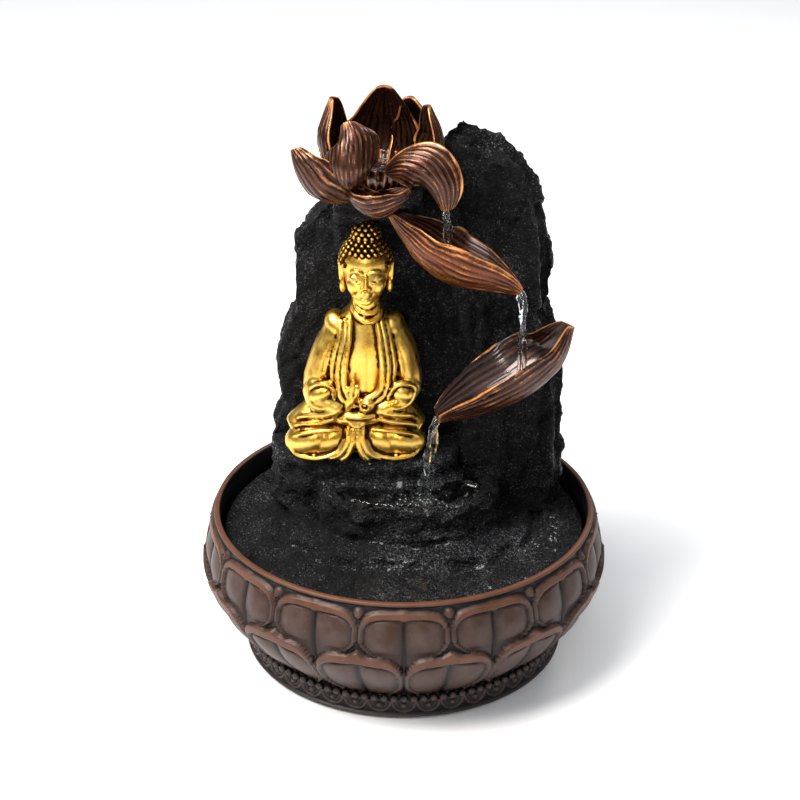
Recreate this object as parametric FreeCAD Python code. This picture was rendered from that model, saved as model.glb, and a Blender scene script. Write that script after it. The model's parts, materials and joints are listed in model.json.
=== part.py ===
"""Tabletop water fountain: a lotus-petal bowl, a lift-out rock insert that carries a seated figure,
a lotus flower and two leaf cups, and the submersible pump and riser tube that feed the flower.

Millimetres, +Z up, origin on the floor at the centre of the bowl. The front of the fountain faces -Y.
Each function makes one physical piece and each piece is written to its own STEP file.
"""
import FreeCAD, Part
import math
import os
from FreeCAD import Vector as V

# Bowl
BOWL_R = 100.0            # widest radius, at the belly
BOWL_H = 75.0
RIM_R = 95.0              # outside of the rim
RIM_IN_R = 91.8           # inside of the rim
FOOT_R = 80.5             # outside of the foot ring
FOOT_IN_R = 62.0
PAD_H = 1.2               # foot pads under the foot ring
PAD_R = 6.0
PAD_AT_R = 71.0
FLOOR_Z = 8.0             # inside floor of the bowl
UNDER_Z = 4.5             # underside of that floor
BELLY_Z = 47.0
RIB_COUNT = 6             # ribs inside the bowl that carry the insert
RIB_IN_R = 85.0
RIB_W = 4.0
SEAT_Z = 58.0             # top of the ribs, underside of the insert's ground plate

# Rock insert
GROUND_R = 90.0
GROUND_Z = 64.5           # top of the ground plate
SHELL = 4.5               # thickness of the cast shell
WALL_R = 87.0             # the wall's back corners are rounded to this radius
WALL_FRONT_Y = 21.0
WALL_BACK_Y = 62.0
WALL_TOP_Z = 271.0
WALL_TAPER = 2.0          # the wall's sides draw in by this much towards the back
FALL_FROM_Z = 190.0       # above this height the top falls away towards the back
FALL_SLOPE = 0.62
BUTTRESS_Y = 8.0          # front of the right-hand buttress
LEDGE_Z = 104.0           # seat of the figure
MOUND_Z = 91.0            # lip of the pool
POOL_FLOOR_Z = 81.0
STEP_Z = 70.0

# Seated figure
FIG_X, FIG_Y = -22.5, 4.0

# Rear cover of the wall
COVER_X = (-36.0, 44.0)
COVER_Z = (88.0, 196.0)
COVER_T = 4.0
COVER_LIP = 4.0
COVER_GAP = 0.4

# Flower
CUP_X, CUP_Y = -12.0, 0.0
CUP_Z = 247.0             # top of the rock neck that carries the flower
CUP_H = 10.0
CUP_R = 13.0
PETAL_T = 2.2
LEAF_T = 2.2

# Riser tube
TUBE_OD_R = 5.5
TUBE_ID_R = 4.0
TUBE_Y = 34.0             # the vertical run, above the pump's nozzle
TUBE_LOW_Z = 49.0
TUBE_BEND_R = 11.0
TUBE_ACROSS_Z = 231.0
SPIGOT_R = 3.95           # nozzle and spigot, a close fit in the tube
SPIGOT_L = 4.6            # reach of the spigot below the flower's cup
CLIPS_Z = (120.0, 180.0)
CLIP_H = 8.0

# Pump; its axis runs along X, with the intake towards -X
PUMP_Y = 34.0
PUMP_AXIS_Z = 29.0
PUMP_HALF_W = 16.0
PUMP_BACK_X = 26.0
PUMP_FRONT_X = -21.0
PUMP_BOTTOM_Z = 13.0
PUMP_TOP_Z = 45.0
CHAMBER_R = 11.0
CHAMBER_D = 9.0
ROTOR_R = 6.0
ROTOR_BORE_R = 6.7
SHAFT_R = 1.5
RUN_GAP = 0.06            # between the rotor's bore and its shaft
PUMP_WALL = 2.0           # wall of the motor bay and of the intake cover
POT_GAP = 0.05            # resin stands off the bay's wall by this
PUMP_FILLET = 4.0
WELL_END_X = 15.0         # blind end of the rotor well
SLEEVE_WALL = 1.4         # wall of the well inside the motor bay
CORE_GAP = 0.1            # core stands off the sleeve by this
MAGNET_X = (-10.5, 11.6)  # front and back of the rotor's magnet
CORE_X = (-6.0, 12.0)
COIL_X = (12.2, 19.0)
BLADE_COUNT = 6
EYE_R = 5.0               # the volute cover's eye
VOLUTE_T = 2.0            # plate of the volute cover
PLUG_T = 1.6              # its plug inside the chamber
NOZZLE_X = -12.0
NOZZLE_TOP_Z = 62.0
COVER_FRONT_X = -34.0     # front of the intake cover
SLOT_PITCH = 4.0          # between the slots of the intake cover
SLOT_W = 1.8
KNOB_R = 7.0
STEM_HOLE_R = 2.15        # hole of the knob's stem
GLAND_X = PUMP_BACK_X - 8.0
GLAND_R = 3.0
LEAD_R = 1.6              # bore for the supply lead

# Lead outlet in the back of the rim
OUTLET_Z = 68.0
OUTLET_R = 3.2
GROMMET_W = 10.0
NOTCH_LOW_Z = OUTLET_Z - 6.0

OUT = "parts"
CHIP_VOLUME = 5.0         # chips smaller than this, in cubic millimetres, are dropped after a cut


def wire(points):
    """Closed polygon through points."""
    return Part.makePolygon([V(*p) for p in points] + [V(*points[0])])


def prism_z(outline, z0, z1, shrink=0.0):
    """Solid between an XY outline at z0 and the same outline drawn in by shrink at z1."""
    low = wire([(x, y, z0) for x, y in outline])
    cx = sum(p[0] for p in outline) / len(outline)
    cy = sum(p[1] for p in outline) / len(outline)
    reach = max(math.hypot(x - cx, y - cy) for x, y in outline)
    k = 1.0 - shrink / reach
    high = wire([(cx + k * (x - cx), cy + k * (y - cy), z1) for x, y in outline])
    return Part.makeLoft([low, high], True, True)


def slab_y(outline, y0, y1, draw_in=0.0):
    """Solid between an XZ outline at y0 and the same outline at y1, there drawn in by draw_in and with its
    top fallen away towards the back."""
    cx = sum(p[0] for p in outline) / len(outline)
    ends = []
    for y in (y0, y1):
        ring = []
        for x, z in outline:
            side = draw_in if x > cx else -draw_in
            rise = min(max((z - FALL_FROM_Z) / (WALL_TOP_Z - FALL_FROM_Z), 0.0), 1.0)
            fall = FALL_SLOPE * rise * max(y - WALL_FRONT_Y, 0.0)
            ring.append((x - side * (y - y0) / (y1 - y0), y, z - fall))
        ends.append(wire(ring))
    return Part.makeLoft(ends, True, True)


def inset(outline, by):
    """Polygon moved inwards by a distance, as a list of points."""
    ring = wire([(x, y, 0) for x, y in outline])
    inner = ring.makeOffset2D(-by, 2)
    return [(v.X, v.Y) for v in inner.OrderedVertexes]


def box(x0, x1, y0, y1, z0, z1):
    return Part.makeBox(x1 - x0, y1 - y0, z1 - z0, V(x0, y0, z0))


def rod(r, start, end):
    """Round bar between two points."""
    a, b = V(*start), V(*end)
    return Part.makeCylinder(r, (b - a).Length, a, b - a)


def revolve(profile):
    """Solid of revolution about Z of an (r, z) profile made of straight stretches."""
    face = Part.Face(wire([(r, 0, z) for r, z in profile]))
    return face.revolve(V(0, 0, 0), V(0, 0, 1), 360)


def fuse(shapes):
    whole = shapes[0].multiFuse(shapes[1:]) if len(shapes) > 1 else shapes[0]
    return whole.removeSplitter()


# Leaves and petals ---------------------------------------------------------------------------

def skin_solid(inner, outer):
    """Closed solid of flat triangles between two point grids of the same size."""
    rows, columns = len(inner), len(inner[0])
    faces = []

    def quad(p, q, r, t):
        for corner in ((p, q, r), (p, r, t)):
            faces.append(Part.Face(Part.makePolygon(list(corner) + [corner[0]])))

    for i in range(rows - 1):
        for j in range(columns - 1):
            quad(inner[i][j], inner[i + 1][j], inner[i + 1][j + 1], inner[i][j + 1])
            quad(outer[i][j], outer[i][j + 1], outer[i + 1][j + 1], outer[i + 1][j])
    for i in range(rows - 1):
        quad(inner[i][0], outer[i][0], outer[i + 1][0], inner[i + 1][0])
        quad(inner[i][-1], inner[i + 1][-1], outer[i + 1][-1], outer[i][-1])
    for j in range(columns - 1):
        quad(inner[0][j], inner[0][j + 1], outer[0][j + 1], outer[0][j])
        quad(inner[-1][j], outer[-1][j], outer[-1][j + 1], inner[-1][j + 1])
    shell = Part.makeShell(faces)
    shell.sewShape()
    solid = Part.makeSolid(shell)
    if solid.Volume < 0:
        solid.reverse()
    return solid


def boat_leaf(root, bend, tip, up, width, cup, rows=8, columns=7):
    """Cupped leaf: the keel is a quadratic curve from root by bend to tip, the width swells and closes
    along it, and the sides rise towards up by the square of the distance from the keel."""
    root, bend, tip, up = V(*root), V(*bend), V(*tip), V(*up)
    skins = []
    for offset in (LEAF_T, 0.0):
        grid = []
        for i in range(rows):
            t = i / (rows - 1)
            along = (bend - root) * (1 - t) + (tip - bend) * t
            along.normalize()
            side = along.cross(up)
            side.normalize()
            normal = side.cross(along)
            keel = root * (1 - t) ** 2 + bend * (2 * t * (1 - t)) + tip * t ** 2
            swell = math.sin(math.pi * (0.10 + 0.82 * t)) ** 0.75
            row = []
            for j in range(columns):
                v = 2.0 * j / (columns - 1) - 1.0
                row.append(keel + side * (0.5 * width * swell * v) + normal * (cup * swell * v * v + offset))
            grid.append(row)
        skins.append(grid)
    return skin_solid(*skins)


def petal_solid(azimuth, half_angle, foot, belly, top, rows=7, columns=5):
    """Petal of the flower. Its keel is a quadratic curve of (radius, height) from foot by belly to top
    about the flower's axis; its angular width swells and closes, so neighbours never cross."""
    skins = []
    for offset in (0.0, PETAL_T):
        grid = []
        for i in range(rows):
            t = i / (rows - 1)
            outward = (belly[0] - foot[0]) * (1 - t) + (top[0] - belly[0]) * t
            upward = (belly[1] - foot[1]) * (1 - t) + (top[1] - belly[1]) * t
            slope = math.hypot(outward, upward)
            weights = ((1 - t) ** 2, 2 * t * (1 - t), t ** 2)
            radius = sum(w * p[0] for w, p in zip(weights, (foot, belly, top))) + offset * upward / slope
            height = sum(w * p[1] for w, p in zip(weights, (foot, belly, top))) - offset * outward / slope
            swell = math.sin(math.pi * (0.22 + 0.70 * t)) ** 0.8
            row = []
            for j in range(columns):
                v = 2.0 * j / (columns - 1) - 1.0
                a = math.radians(azimuth + half_angle * swell * v)
                r = radius * (1.0 - 0.06 * v * v)
                row.append(V(CUP_X + r * math.cos(a), CUP_Y + r * math.sin(a), height))
            grid.append(row)
        skins.append(grid)
    return skin_solid(*skins)


# Bowl -----------------------------------------------------------------------------------------

def basin_bowl():
    """Bowl with a foot ring, a swelling belly and a plain rim; ribs inside carry the insert."""
    outer = [(0, UNDER_Z), (FOOT_IN_R, UNDER_Z), (FOOT_IN_R, PAD_H), (FOOT_R, PAD_H), (FOOT_R, 9.0),
             (77.5, 12.0), (84.0, 19.0), (91.5, 28.0), (97.5, 38.0), (BOWL_R, BELLY_Z),
             (99.5, 56.0), (97.2, 66.0), (RIM_R, 71.5), (RIM_R, BOWL_H)]
    inner = [(RIM_IN_R, BOWL_H), (RIM_IN_R, 66.0), (94.0, 57.0), (94.6, BELLY_Z), (92.5, 38.0),
             (86.5, 28.0), (79.0, 19.0), (70.0, 10.0), (62.0, FLOOR_Z), (0, FLOOR_Z)]
    bowl = revolve(outer + inner)
    ribs = []
    for i in range(RIB_COUNT):
        rib = box(RIB_IN_R, 96.5, -RIB_W / 2, RIB_W / 2, 24.0, SEAT_Z)
        rib.rotate(V(0, 0, 0), V(0, 0, 1), 30.0 + i * 360.0 / RIB_COUNT)
        ribs.append(rib)
    belly = revolve([(0, FLOOR_Z), (70.0, 10.0), (79.5, 19.0), (87.0, 28.0), (93.0, 38.0), (95.2, BELLY_Z),
                     (94.6, 57.0), (92.5, 66.0), (0, 66.0)])
    ribs = [r.common(belly) for r in ribs]
    notch = box(-GROMMET_W / 2, GROMMET_W / 2, 85.0, 101.0, NOTCH_LOW_Z, BOWL_H + 1)
    return fuse([bowl] + ribs).cut(notch)


def foot_pads():
    """Four rubber pads under the foot ring."""
    pads = []
    for i in range(4):
        a = math.radians(45 + 90 * i)
        x, y = PAD_AT_R * math.cos(a), PAD_AT_R * math.sin(a)
        pads.append(rod(PAD_R, (x, y, 0), (x, y, PAD_H)))
    return Part.makeCompound(pads)


def cable_grommet():
    """Rubber saddle that fills the notch in the rim, with a round hole for the supply lead."""
    lip = 1.6
    body = box(-GROMMET_W / 2, GROMMET_W / 2, RIM_IN_R - 0.2, RIM_R + 1.4, NOTCH_LOW_Z, BOWL_H)
    flange_z = NOTCH_LOW_Z + 1.0
    flange = box(-GROMMET_W / 2 - lip, GROMMET_W / 2 + lip, RIM_IN_R - 2.6, RIM_IN_R - 0.6,
                 flange_z, BOWL_H)
    neck = box(-GROMMET_W / 2, GROMMET_W / 2, RIM_IN_R - 0.6, RIM_IN_R, flange_z, BOWL_H)
    hole = rod(OUTLET_R, (0, 80, OUTLET_Z), (0, 110, OUTLET_Z))
    return fuse([body, flange, neck]).cut(hole)


# Rock insert ----------------------------------------------------------------------------------

WALL_OUTLINE = [(-68, GROUND_Z), (-67, 103), (-59, 118), (-63, 146), (-53, 172), (-53, 210), (-44, 220),
                (-34, 231), (-33, CUP_Z), (12, CUP_Z), (20, 264), (27, 270), (49, 260), (64, 242),
                (69, 212), (74, 196), (71, 172), (80, 146), (79, 118), (80, 92), (80, GROUND_Z)]
BUTTRESS_OUTLINE = [(30, GROUND_Z), (28, 104), (34, 146), (22, 190), (16, 232), (26, 262), (48, 253),
                    (60, 238), (64, 208), (66, 172), (74, 146), (74, 104), (76, GROUND_Z)]
LEDGE_OUTLINE = [(-66, WALL_FRONT_Y), (-64, 4), (-50, -7), (-20, -9), (12, -8), (25, 0), (28, 10),
                 (28, WALL_FRONT_Y)]
MOUND_OUTLINE = [(-44, -3), (-40, -22), (-22, -33), (6, -37), (32, -31), (46, -16), (50, BUTTRESS_Y),
                 (20, 12), (-30, 12)]
STEP_OUTLINE = [(-60, 6), (-58, -24), (-34, -44), (8, -50), (42, -43), (62, -22), (66, 14), (0, 20)]
HOLLOW_OUTLINE = [(-60, GROUND_Z - 1), (-59, 100), (-52, 119), (-55, 144), (-47, 170), (-47, 206), (-38, 217),
                  (-28, 226), (-27, 240), (16, 240), (24, 257), (29, 262), (46, 254), (58, 238),
                  (63, 210), (67, 196), (65, 174), (73, 148), (72, 118), (73, 92), (73, GROUND_Z - 1)]
MOUND_TOP = [(-34, -10), (-31, -20), (-18, -28), (6, -31.5), (27, -26), (37, -14), (41, 6), (31, 10.5),
             (30, -4), (12, -12), (-20, -13)]
CORBEL_X = (-32, 8)
CORBEL_OUTLINE = [(WALL_FRONT_Y + 4, 220), (WALL_FRONT_Y + 4, CUP_Z), (-14, CUP_Z), (-14, 240),
                  (-9, 235), (2, 226.5), (WALL_FRONT_Y, 218)]


def tube_bar(start_z, end_z, radius):
    """Solid round bar along the riser tube's route: up, forwards through the wall, and up again."""
    b, y0, z1 = TUBE_BEND_R, TUBE_Y, TUBE_ACROSS_Z
    disc = Part.Face(Part.Wire(Part.makeCircle(radius, V(CUP_X, y0, z1 - b), V(0, 0, 1))))
    first = disc.revolve(V(CUP_X, y0 - b, z1 - b), V(1, 0, 0), 90)
    disc = Part.Face(Part.Wire(Part.makeCircle(radius, V(CUP_X, CUP_Y, z1 + b), V(0, 0, 1))))
    second = disc.revolve(V(CUP_X, CUP_Y + b, z1 + b), V(1, 0, 0), 90)
    pieces = [rod(radius, (CUP_X, y0, start_z), (CUP_X, y0, z1 - b)), first,
              rod(radius, (CUP_X, y0 - b, z1), (CUP_X, CUP_Y + b, z1)), second]
    if end_z > z1 + b:
        pieces.append(rod(radius, (CUP_X, CUP_Y, z1 + b), (CUP_X, CUP_Y, end_z)))
    return fuse(pieces)


def rock_tray():
    """Ground plate with the step, the pool mound and the figure's ledge, hollow from below."""
    plate = rod(GROUND_R, (0, 0, SEAT_Z), (0, 0, GROUND_Z))
    step = prism_z(STEP_OUTLINE, GROUND_Z - 1, STEP_Z, 3.0)
    mound = prism_z(MOUND_OUTLINE, GROUND_Z - 1, MOUND_Z, 3.0)
    ledge = prism_z(LEDGE_OUTLINE, GROUND_Z - 1, LEDGE_Z, 0.0)
    solid = fuse([plate, step, mound, ledge])
    pool = prism_z(MOUND_TOP, POOL_FLOOR_Z, MOUND_Z + 1, -1.0)
    under_mound = prism_z(inset(MOUND_OUTLINE, SHELL), SEAT_Z - 1, POOL_FLOOR_Z - SHELL, 3.0)
    under_ledge = prism_z(inset(LEDGE_OUTLINE, SHELL), SEAT_Z - 1, LEDGE_Z - SHELL, 0.0)
    under_wall = box(-52, 60, WALL_FRONT_Y + SHELL, 52, SEAT_Z - 1, GROUND_Z + 1)
    link = box(-52, 22, WALL_FRONT_Y - 6, WALL_FRONT_Y + SHELL + 1, SEAT_Z - 1, GROUND_Z - 1)
    lead_notch = box(-9, 9, 80, 92, SEAT_Z - 1, GROUND_Z + 1)
    solid = solid.cut(pool).cut(under_mound).cut(under_ledge).cut(under_wall).cut(link).cut(lead_notch)
    wall_foot = slab_y(WALL_OUTLINE, WALL_FRONT_Y, WALL_BACK_Y, WALL_TAPER)
    buttress_foot = slab_y(BUTTRESS_OUTLINE, BUTTRESS_Y, WALL_FRONT_Y + 2)
    return solid.cut(wall_foot.fuse(buttress_foot)).removeSplitter()


def wall_block():
    """Outside shape of the wall: a broad slab, a buttress on its right and the neck under the flower."""
    slab = slab_y(WALL_OUTLINE, WALL_FRONT_Y, WALL_BACK_Y, WALL_TAPER)
    buttress = slab_y(BUTTRESS_OUTLINE, BUTTRESS_Y, WALL_FRONT_Y + 2)
    ends = [wire([(x, y, z) for y, z in CORBEL_OUTLINE]) for x in CORBEL_X]
    corbel = Part.makeLoft(ends, True, True)
    block = fuse([slab, buttress, corbel])
    return block.common(rod(WALL_R, (0, 0, GROUND_Z), (0, 0, 300)))


def rock_wall():
    """Tall rock shell, open below, with the tube's channel and a rebated window in its back."""
    hollow = slab_y(HOLLOW_OUTLINE, WALL_FRONT_Y + SHELL, WALL_BACK_Y - COVER_T - 2.5, WALL_TAPER)
    hollow = hollow.common(rod(WALL_R - SHELL, (0, 0, GROUND_Z - 2), (0, 0, 300)))
    (x0, x1), (z0, z1) = COVER_X, COVER_Z
    window = box(x0 + COVER_LIP, x1 - COVER_LIP, WALL_BACK_Y - 12, WALL_BACK_Y + 1,
                 z0 + COVER_LIP, z1 - COVER_LIP)
    rebate = box(x0, x1, WALL_BACK_Y - COVER_T, WALL_BACK_Y + 1, z0, z1)
    channel = tube_bar(TUBE_LOW_Z, CUP_Z + 2, TUBE_OD_R + 0.3)
    return wall_block().cut(hollow).cut(window).cut(rebate).cut(channel)


def rear_cover():
    """Panel that closes the back of the wall, with a moulded finger dish near its top."""
    (x0, x1), (z0, z1) = COVER_X, COVER_Z
    edge = COVER_GAP
    skirt_edge = COVER_LIP + COVER_GAP
    relief_edge = COVER_LIP + 4.0
    inner_y = WALL_BACK_Y - COVER_T + 0.2
    plate = box(x0 + edge, x1 - edge, inner_y, WALL_BACK_Y, z0 + edge, z1 - edge)
    skirt = box(x0 + skirt_edge, x1 - skirt_edge, WALL_BACK_Y - 6.0, inner_y,
                z0 + skirt_edge, z1 - skirt_edge)
    relief = box(x0 + relief_edge, x1 - relief_edge, WALL_BACK_Y - 7.0, inner_y + 0.8,
                 z0 + relief_edge, z1 - relief_edge)
    dish = Part.makeSphere(9.0, V((x0 + x1) / 2, WALL_BACK_Y + 7.4, z1 - 16))
    return fuse([plate, skirt]).cut(relief).cut(dish)


# Leaf cups and flower -------------------------------------------------------------------------

LEAVES = {
    "leaf_cup_middle": dict(root=(-6, -8, 231), bend=(20, -9, 189), tip=(54, -17, 200),
                            up=(0.25, 0.0, 1.0), width=36, cup=17),
    "leaf_cup_lower": dict(root=(82, -12, 178), bend=(56, -8, 128), tip=(18, -12, 129),
                           up=(-0.45, 0.05, 1.0), width=41, cup=20),
    "leaf_spout_upper": dict(root=(-2.0, -12.4, 256.5), bend=(12, -30, 284), tip=(19, -27, 245),
                             up=(0.5, -0.5, 1.0), width=18, cup=5),
}
# Stem that carries each leaf cup, from under its keel back into the rock
STEMS = {
    "leaf_cup_middle": ((22, -12, 200), (22, WALL_FRONT_Y + 2, 204)),
    "leaf_cup_lower": ((53, -12, 138.5), (53, BUTTRESS_Y + 2, 141)),
}
STEM_R = 3.5
# Azimuth and half width in degrees, then (radius, height) at the foot, belly and top of the keel
PETALS = {
    "petal_front": dict(azimuth=-108, half_angle=25, foot=(12.7, 250), belly=(36, 263), top=(21, 287)),
    "petal_left": dict(azimuth=-164, half_angle=25, foot=(12.7, 250), belly=(38, 249), top=(34, 271)),
    "petal_back_left": dict(azimuth=140, half_angle=25, foot=(12.7, 250), belly=(34, 262), top=(22, 286)),
    "petal_back": dict(azimuth=85, half_angle=25, foot=(12.7, 250), belly=(34, 264), top=(14, 291)),
    "petal_back_right": dict(azimuth=32, half_angle=22, foot=(12.7, 250), belly=(34, 262), top=(22, 287)),
    "petal_right": dict(azimuth=-14, half_angle=18, foot=(12.7, 250), belly=(32, 262), top=(21, 284)),
}


def lotus_cup():
    """Cup at the heart of the flower: water wells up through its spigot and floods it."""
    low = rod(CUP_R - 1.5, (CUP_X, CUP_Y, CUP_Z), (CUP_X, CUP_Y, CUP_Z + 2))
    cone = Part.makeCone(CUP_R - 1.5, CUP_R + 1.5, CUP_H - 2, V(CUP_X, CUP_Y, CUP_Z + 2), V(0, 0, 1))
    spigot = rod(SPIGOT_R, (CUP_X, CUP_Y, CUP_Z - SPIGOT_L), (CUP_X, CUP_Y, CUP_Z + 1))
    inside = Part.makeCone(CUP_R - 4.5, CUP_R - 1.0, CUP_H - 4, V(CUP_X, CUP_Y, CUP_Z + 4), V(0, 0, 1))
    drop = rod(2.5, (CUP_X, CUP_Y, CUP_Z - 8), (CUP_X, CUP_Y, CUP_Z + 5))
    return fuse([low, cone, spigot]).cut(inside).cut(drop)


def riser_tube():
    """Soft hose from the pump's nozzle, up the hollow wall and through the neck to the flower's spigot."""
    return tube_bar(TUBE_LOW_Z, CUP_Z - 0.2, TUBE_OD_R).cut(tube_bar(TUBE_LOW_Z - 0.5, CUP_Z + 1, TUBE_ID_R))


def tube_clips():
    """Two cast saddles that hold the hose to the inside of the wall."""
    clips = []
    y0 = WALL_FRONT_Y + SHELL
    for z in CLIPS_Z:
        low, high = z - 1.0, z + CLIP_H + 1.0
        block = box(CUP_X - 9, CUP_X + 9, y0, TUBE_Y + 3.0, z, z + CLIP_H)
        slot = rod(TUBE_OD_R + 0.15, (CUP_X, TUBE_Y, low), (CUP_X, TUBE_Y, high))
        throat = box(CUP_X - 4.6, CUP_X + 4.6, TUBE_Y, TUBE_Y + 4, low, high)
        clips.append(block.cut(slot).cut(throat))
    return Part.makeCompound(clips)


# Seated figure --------------------------------------------------------------------------------

def boulder(cx, cy, cz, rx, ry, rz, sides=12, rings=6):
    """Faceted ellipsoid: similar polygons stacked at the heights of a sphere's rings."""
    wires = []
    for k in range(rings + 1):
        lift = math.radians(-72 + 144.0 * k / rings)
        c, s = math.cos(lift), math.sin(lift) / math.sin(math.radians(72))
        ring = []
        for i in range(sides):
            a = 2 * math.pi * (i + 0.5) / sides
            ring.append((cx + rx * c * math.cos(a), cy + ry * c * math.sin(a), cz + rz * s))
        wires.append(wire(ring))
    return Part.makeLoft(wires, True, True)


def seated_figure():
    """Cast figure in the lotus seat: crossed legs, trunk, arms, head with a topknot."""
    x, y, z = FIG_X, FIG_Y, LEDGE_Z
    legs = boulder(x, y - 1, z + 9, 37.0, 13.5, 11.5)
    lap = boulder(x, y + 1, z + 20, 27.0, 12.0, 12.0)
    trunk = boulder(x + 0.5, y + 3, z + 42, 20.0, 11.0, 33.0)
    shoulders = boulder(x + 0.5, y + 4, z + 59, 24.5, 10.0, 15.0)
    left_arm = boulder(x - 23.0, y + 1, z + 40, 7.5, 9.0, 22.0)
    right_arm = boulder(x + 22.5, y + 1, z + 40, 7.5, 9.0, 22.0)
    head = boulder(x + 4.0, y, z + 94, 12.5, 11.5, 17.0)
    neck = rod(7.5, (x + 3.0, y + 3, z + 70), (x + 3.0, y + 3, z + 88))
    knot = boulder(x + 4.0, y + 2.0, z + 110, 6.5, 6.5, 7.5)
    body = fuse([legs, lap, trunk, shoulders, left_arm, right_arm, neck, head, knot])
    stone = box(x - 60, x + 60, WALL_FRONT_Y - 0.2, WALL_FRONT_Y + 30, z - 30, z + 130)
    below = box(x - 60, x + 60, -60, 60, z - 30, z)
    return body.cut(stone).cut(below)


# Pump -----------------------------------------------------------------------------------------

def long_edges(shape):
    """Edges that run along X."""
    return [e for e in shape.Edges if abs(e.Vertexes[0].X - e.Vertexes[1].X) > 1]


def pump_housing():
    """Moulded body: impeller chamber in front, blind rotor well behind it, potted motor bay at the back."""
    y, z, w = PUMP_Y, PUMP_AXIS_Z, PUMP_HALF_W
    x0, x1 = PUMP_FRONT_X, PUMP_BACK_X
    body = box(x0, x1, y - w, y + w, PUMP_BOTTOM_Z, PUMP_TOP_Z)
    body = body.makeFillet(PUMP_FILLET, long_edges(body))
    boss = Part.makeCone(6.5, SPIGOT_R + 1.2, 5.0, V(NOZZLE_X, y, PUMP_TOP_Z - 1), V(0, 0, 1))
    nozzle = rod(SPIGOT_R, (NOZZLE_X, y, PUMP_TOP_Z - 1), (NOZZLE_X, y, NOZZLE_TOP_Z))
    body = fuse([body, boss, nozzle])
    chamber = rod(CHAMBER_R, (x0 - 1, y, z), (x0 + CHAMBER_D, y, z))
    well = rod(ROTOR_BORE_R, (x0, y, z), (WELL_END_X, y, z))
    drop = rod(2.6, (NOZZLE_X, y, z + 5), (NOZZLE_X, y, NOZZLE_TOP_Z + 1))
    bay = box(-9.0, x1 + 1, y - w + PUMP_WALL, y + w - PUMP_WALL, PUMP_BOTTOM_Z + PUMP_WALL,
              PUMP_TOP_Z - PUMP_WALL)
    sleeve = rod(ROTOR_BORE_R + SLEEVE_WALL, (-10.0, y, z), (WELL_END_X + 1.5, y, z))
    body = body.cut(chamber).cut(bay.cut(sleeve)).cut(well).cut(drop)
    holes = [rod(1.6, (cx, cy, PUMP_BOTTOM_Z - 1), (cx, cy, PUMP_BOTTOM_Z + 1.9)) for cx, cy in cup_places()]
    gland = rod(GLAND_R + 0.05, (GLAND_X, y, PUMP_TOP_Z - 6), (GLAND_X, y, PUMP_TOP_Z + 1))
    for hole in holes + [gland]:
        body = body.cut(hole)
    return body


def cup_places():
    """Centres of the four suction cups."""
    return [(x, PUMP_Y + side * 10) for x in (PUMP_FRONT_X + 8, PUMP_BACK_X - 8) for side in (-1, 1)]


def suction_cups():
    """Four rubber cups that hold the pump to the floor of the bowl."""
    cups = []
    for x, y in cup_places():
        skirt = Part.makeCone(6.0, 2.6, 3.4, V(x, y, FLOOR_Z), V(0, 0, 1))
        hollow = Part.makeCone(4.6, 1.0, 1.8, V(x, y, FLOOR_Z), V(0, 0, 1))
        neck = rod(2.6, (x, y, FLOOR_Z + 3.3), (x, y, PUMP_BOTTOM_Z))
        stud = rod(1.55, (x, y, PUMP_BOTTOM_Z - 1), (x, y, PUMP_BOTTOM_Z + 1.7))
        cups.append(fuse([skirt, neck, stud]).cut(hollow))
    return Part.makeCompound(cups)


def volute_cover():
    """Round plate that closes the impeller chamber, with the eye that water enters by."""
    y, z, x = PUMP_Y, PUMP_AXIS_Z, PUMP_FRONT_X
    front, back = x - VOLUTE_T, x + PLUG_T
    plate = rod(CHAMBER_R + 2.0, (front, y, z), (x, y, z))
    plug = rod(CHAMBER_R - 0.05, (x, y, z), (back, y, z))
    eye = rod(EYE_R, (x - 3, y, z), (x + 3, y, z))
    hub = rod(2.9, (front, y, z), (back, y, z))
    half_w, half_l = 0.8, EYE_R + 0.4
    arms = [box(front, back, y - half_w, y + half_w, z - half_l, z + half_l),
            box(front, back, y - half_l, y + half_l, z - half_w, z + half_w)]
    seat = rod(SHAFT_R + 0.55, (x - 3, y, z), (x + 2, y, z))
    groove = rod(CHAMBER_R + 1, (x + 0.5, y, z), (x + 1.3, y, z)).cut(
        rod(CHAMBER_R - 1.1, (x, y, z), (x + 2, y, z)))
    return fuse([plate, plug]).cut(eye).fuse([hub] + arms).cut(seat).cut(groove).removeSplitter()


def volute_seal():
    """Flat rubber ring in the groove of the volute cover."""
    y, z, x = PUMP_Y, PUMP_AXIS_Z, PUMP_FRONT_X
    return rod(CHAMBER_R - 0.02, (x + 0.52, y, z), (x + 1.28, y, z)).cut(
        rod(CHAMBER_R - 1.08, (x, y, z), (x + 2, y, z)))


def shaft_bush(x0, x1, outer):
    """Rubber ring round the shaft from x0 to x1."""
    y, z = PUMP_Y, PUMP_AXIS_Z
    return rod(outer, (x0, y, z), (x1, y, z)).cut(rod(SHAFT_R + 0.01, (x0 - 1, y, z), (x1 + 1, y, z)))


def shaft_bush_front():
    """Rubber bush in the hub of the volute cover."""
    return shaft_bush(PUMP_FRONT_X - VOLUTE_T, PUMP_FRONT_X + 1.4, SHAFT_R + 0.5)


def shaft_bush_rear():
    """Rubber bush at the blind end of the rotor well."""
    return shaft_bush(WELL_END_X - 2.6, WELL_END_X, ROTOR_BORE_R - 0.05)


def rotor_shaft():
    """Fixed ceramic pin that the rotor turns on."""
    y, z = PUMP_Y, PUMP_AXIS_Z
    return rod(SHAFT_R, (PUMP_FRONT_X - VOLUTE_T + 0.2, y, z), (WELL_END_X - 0.4, y, z))


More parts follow.
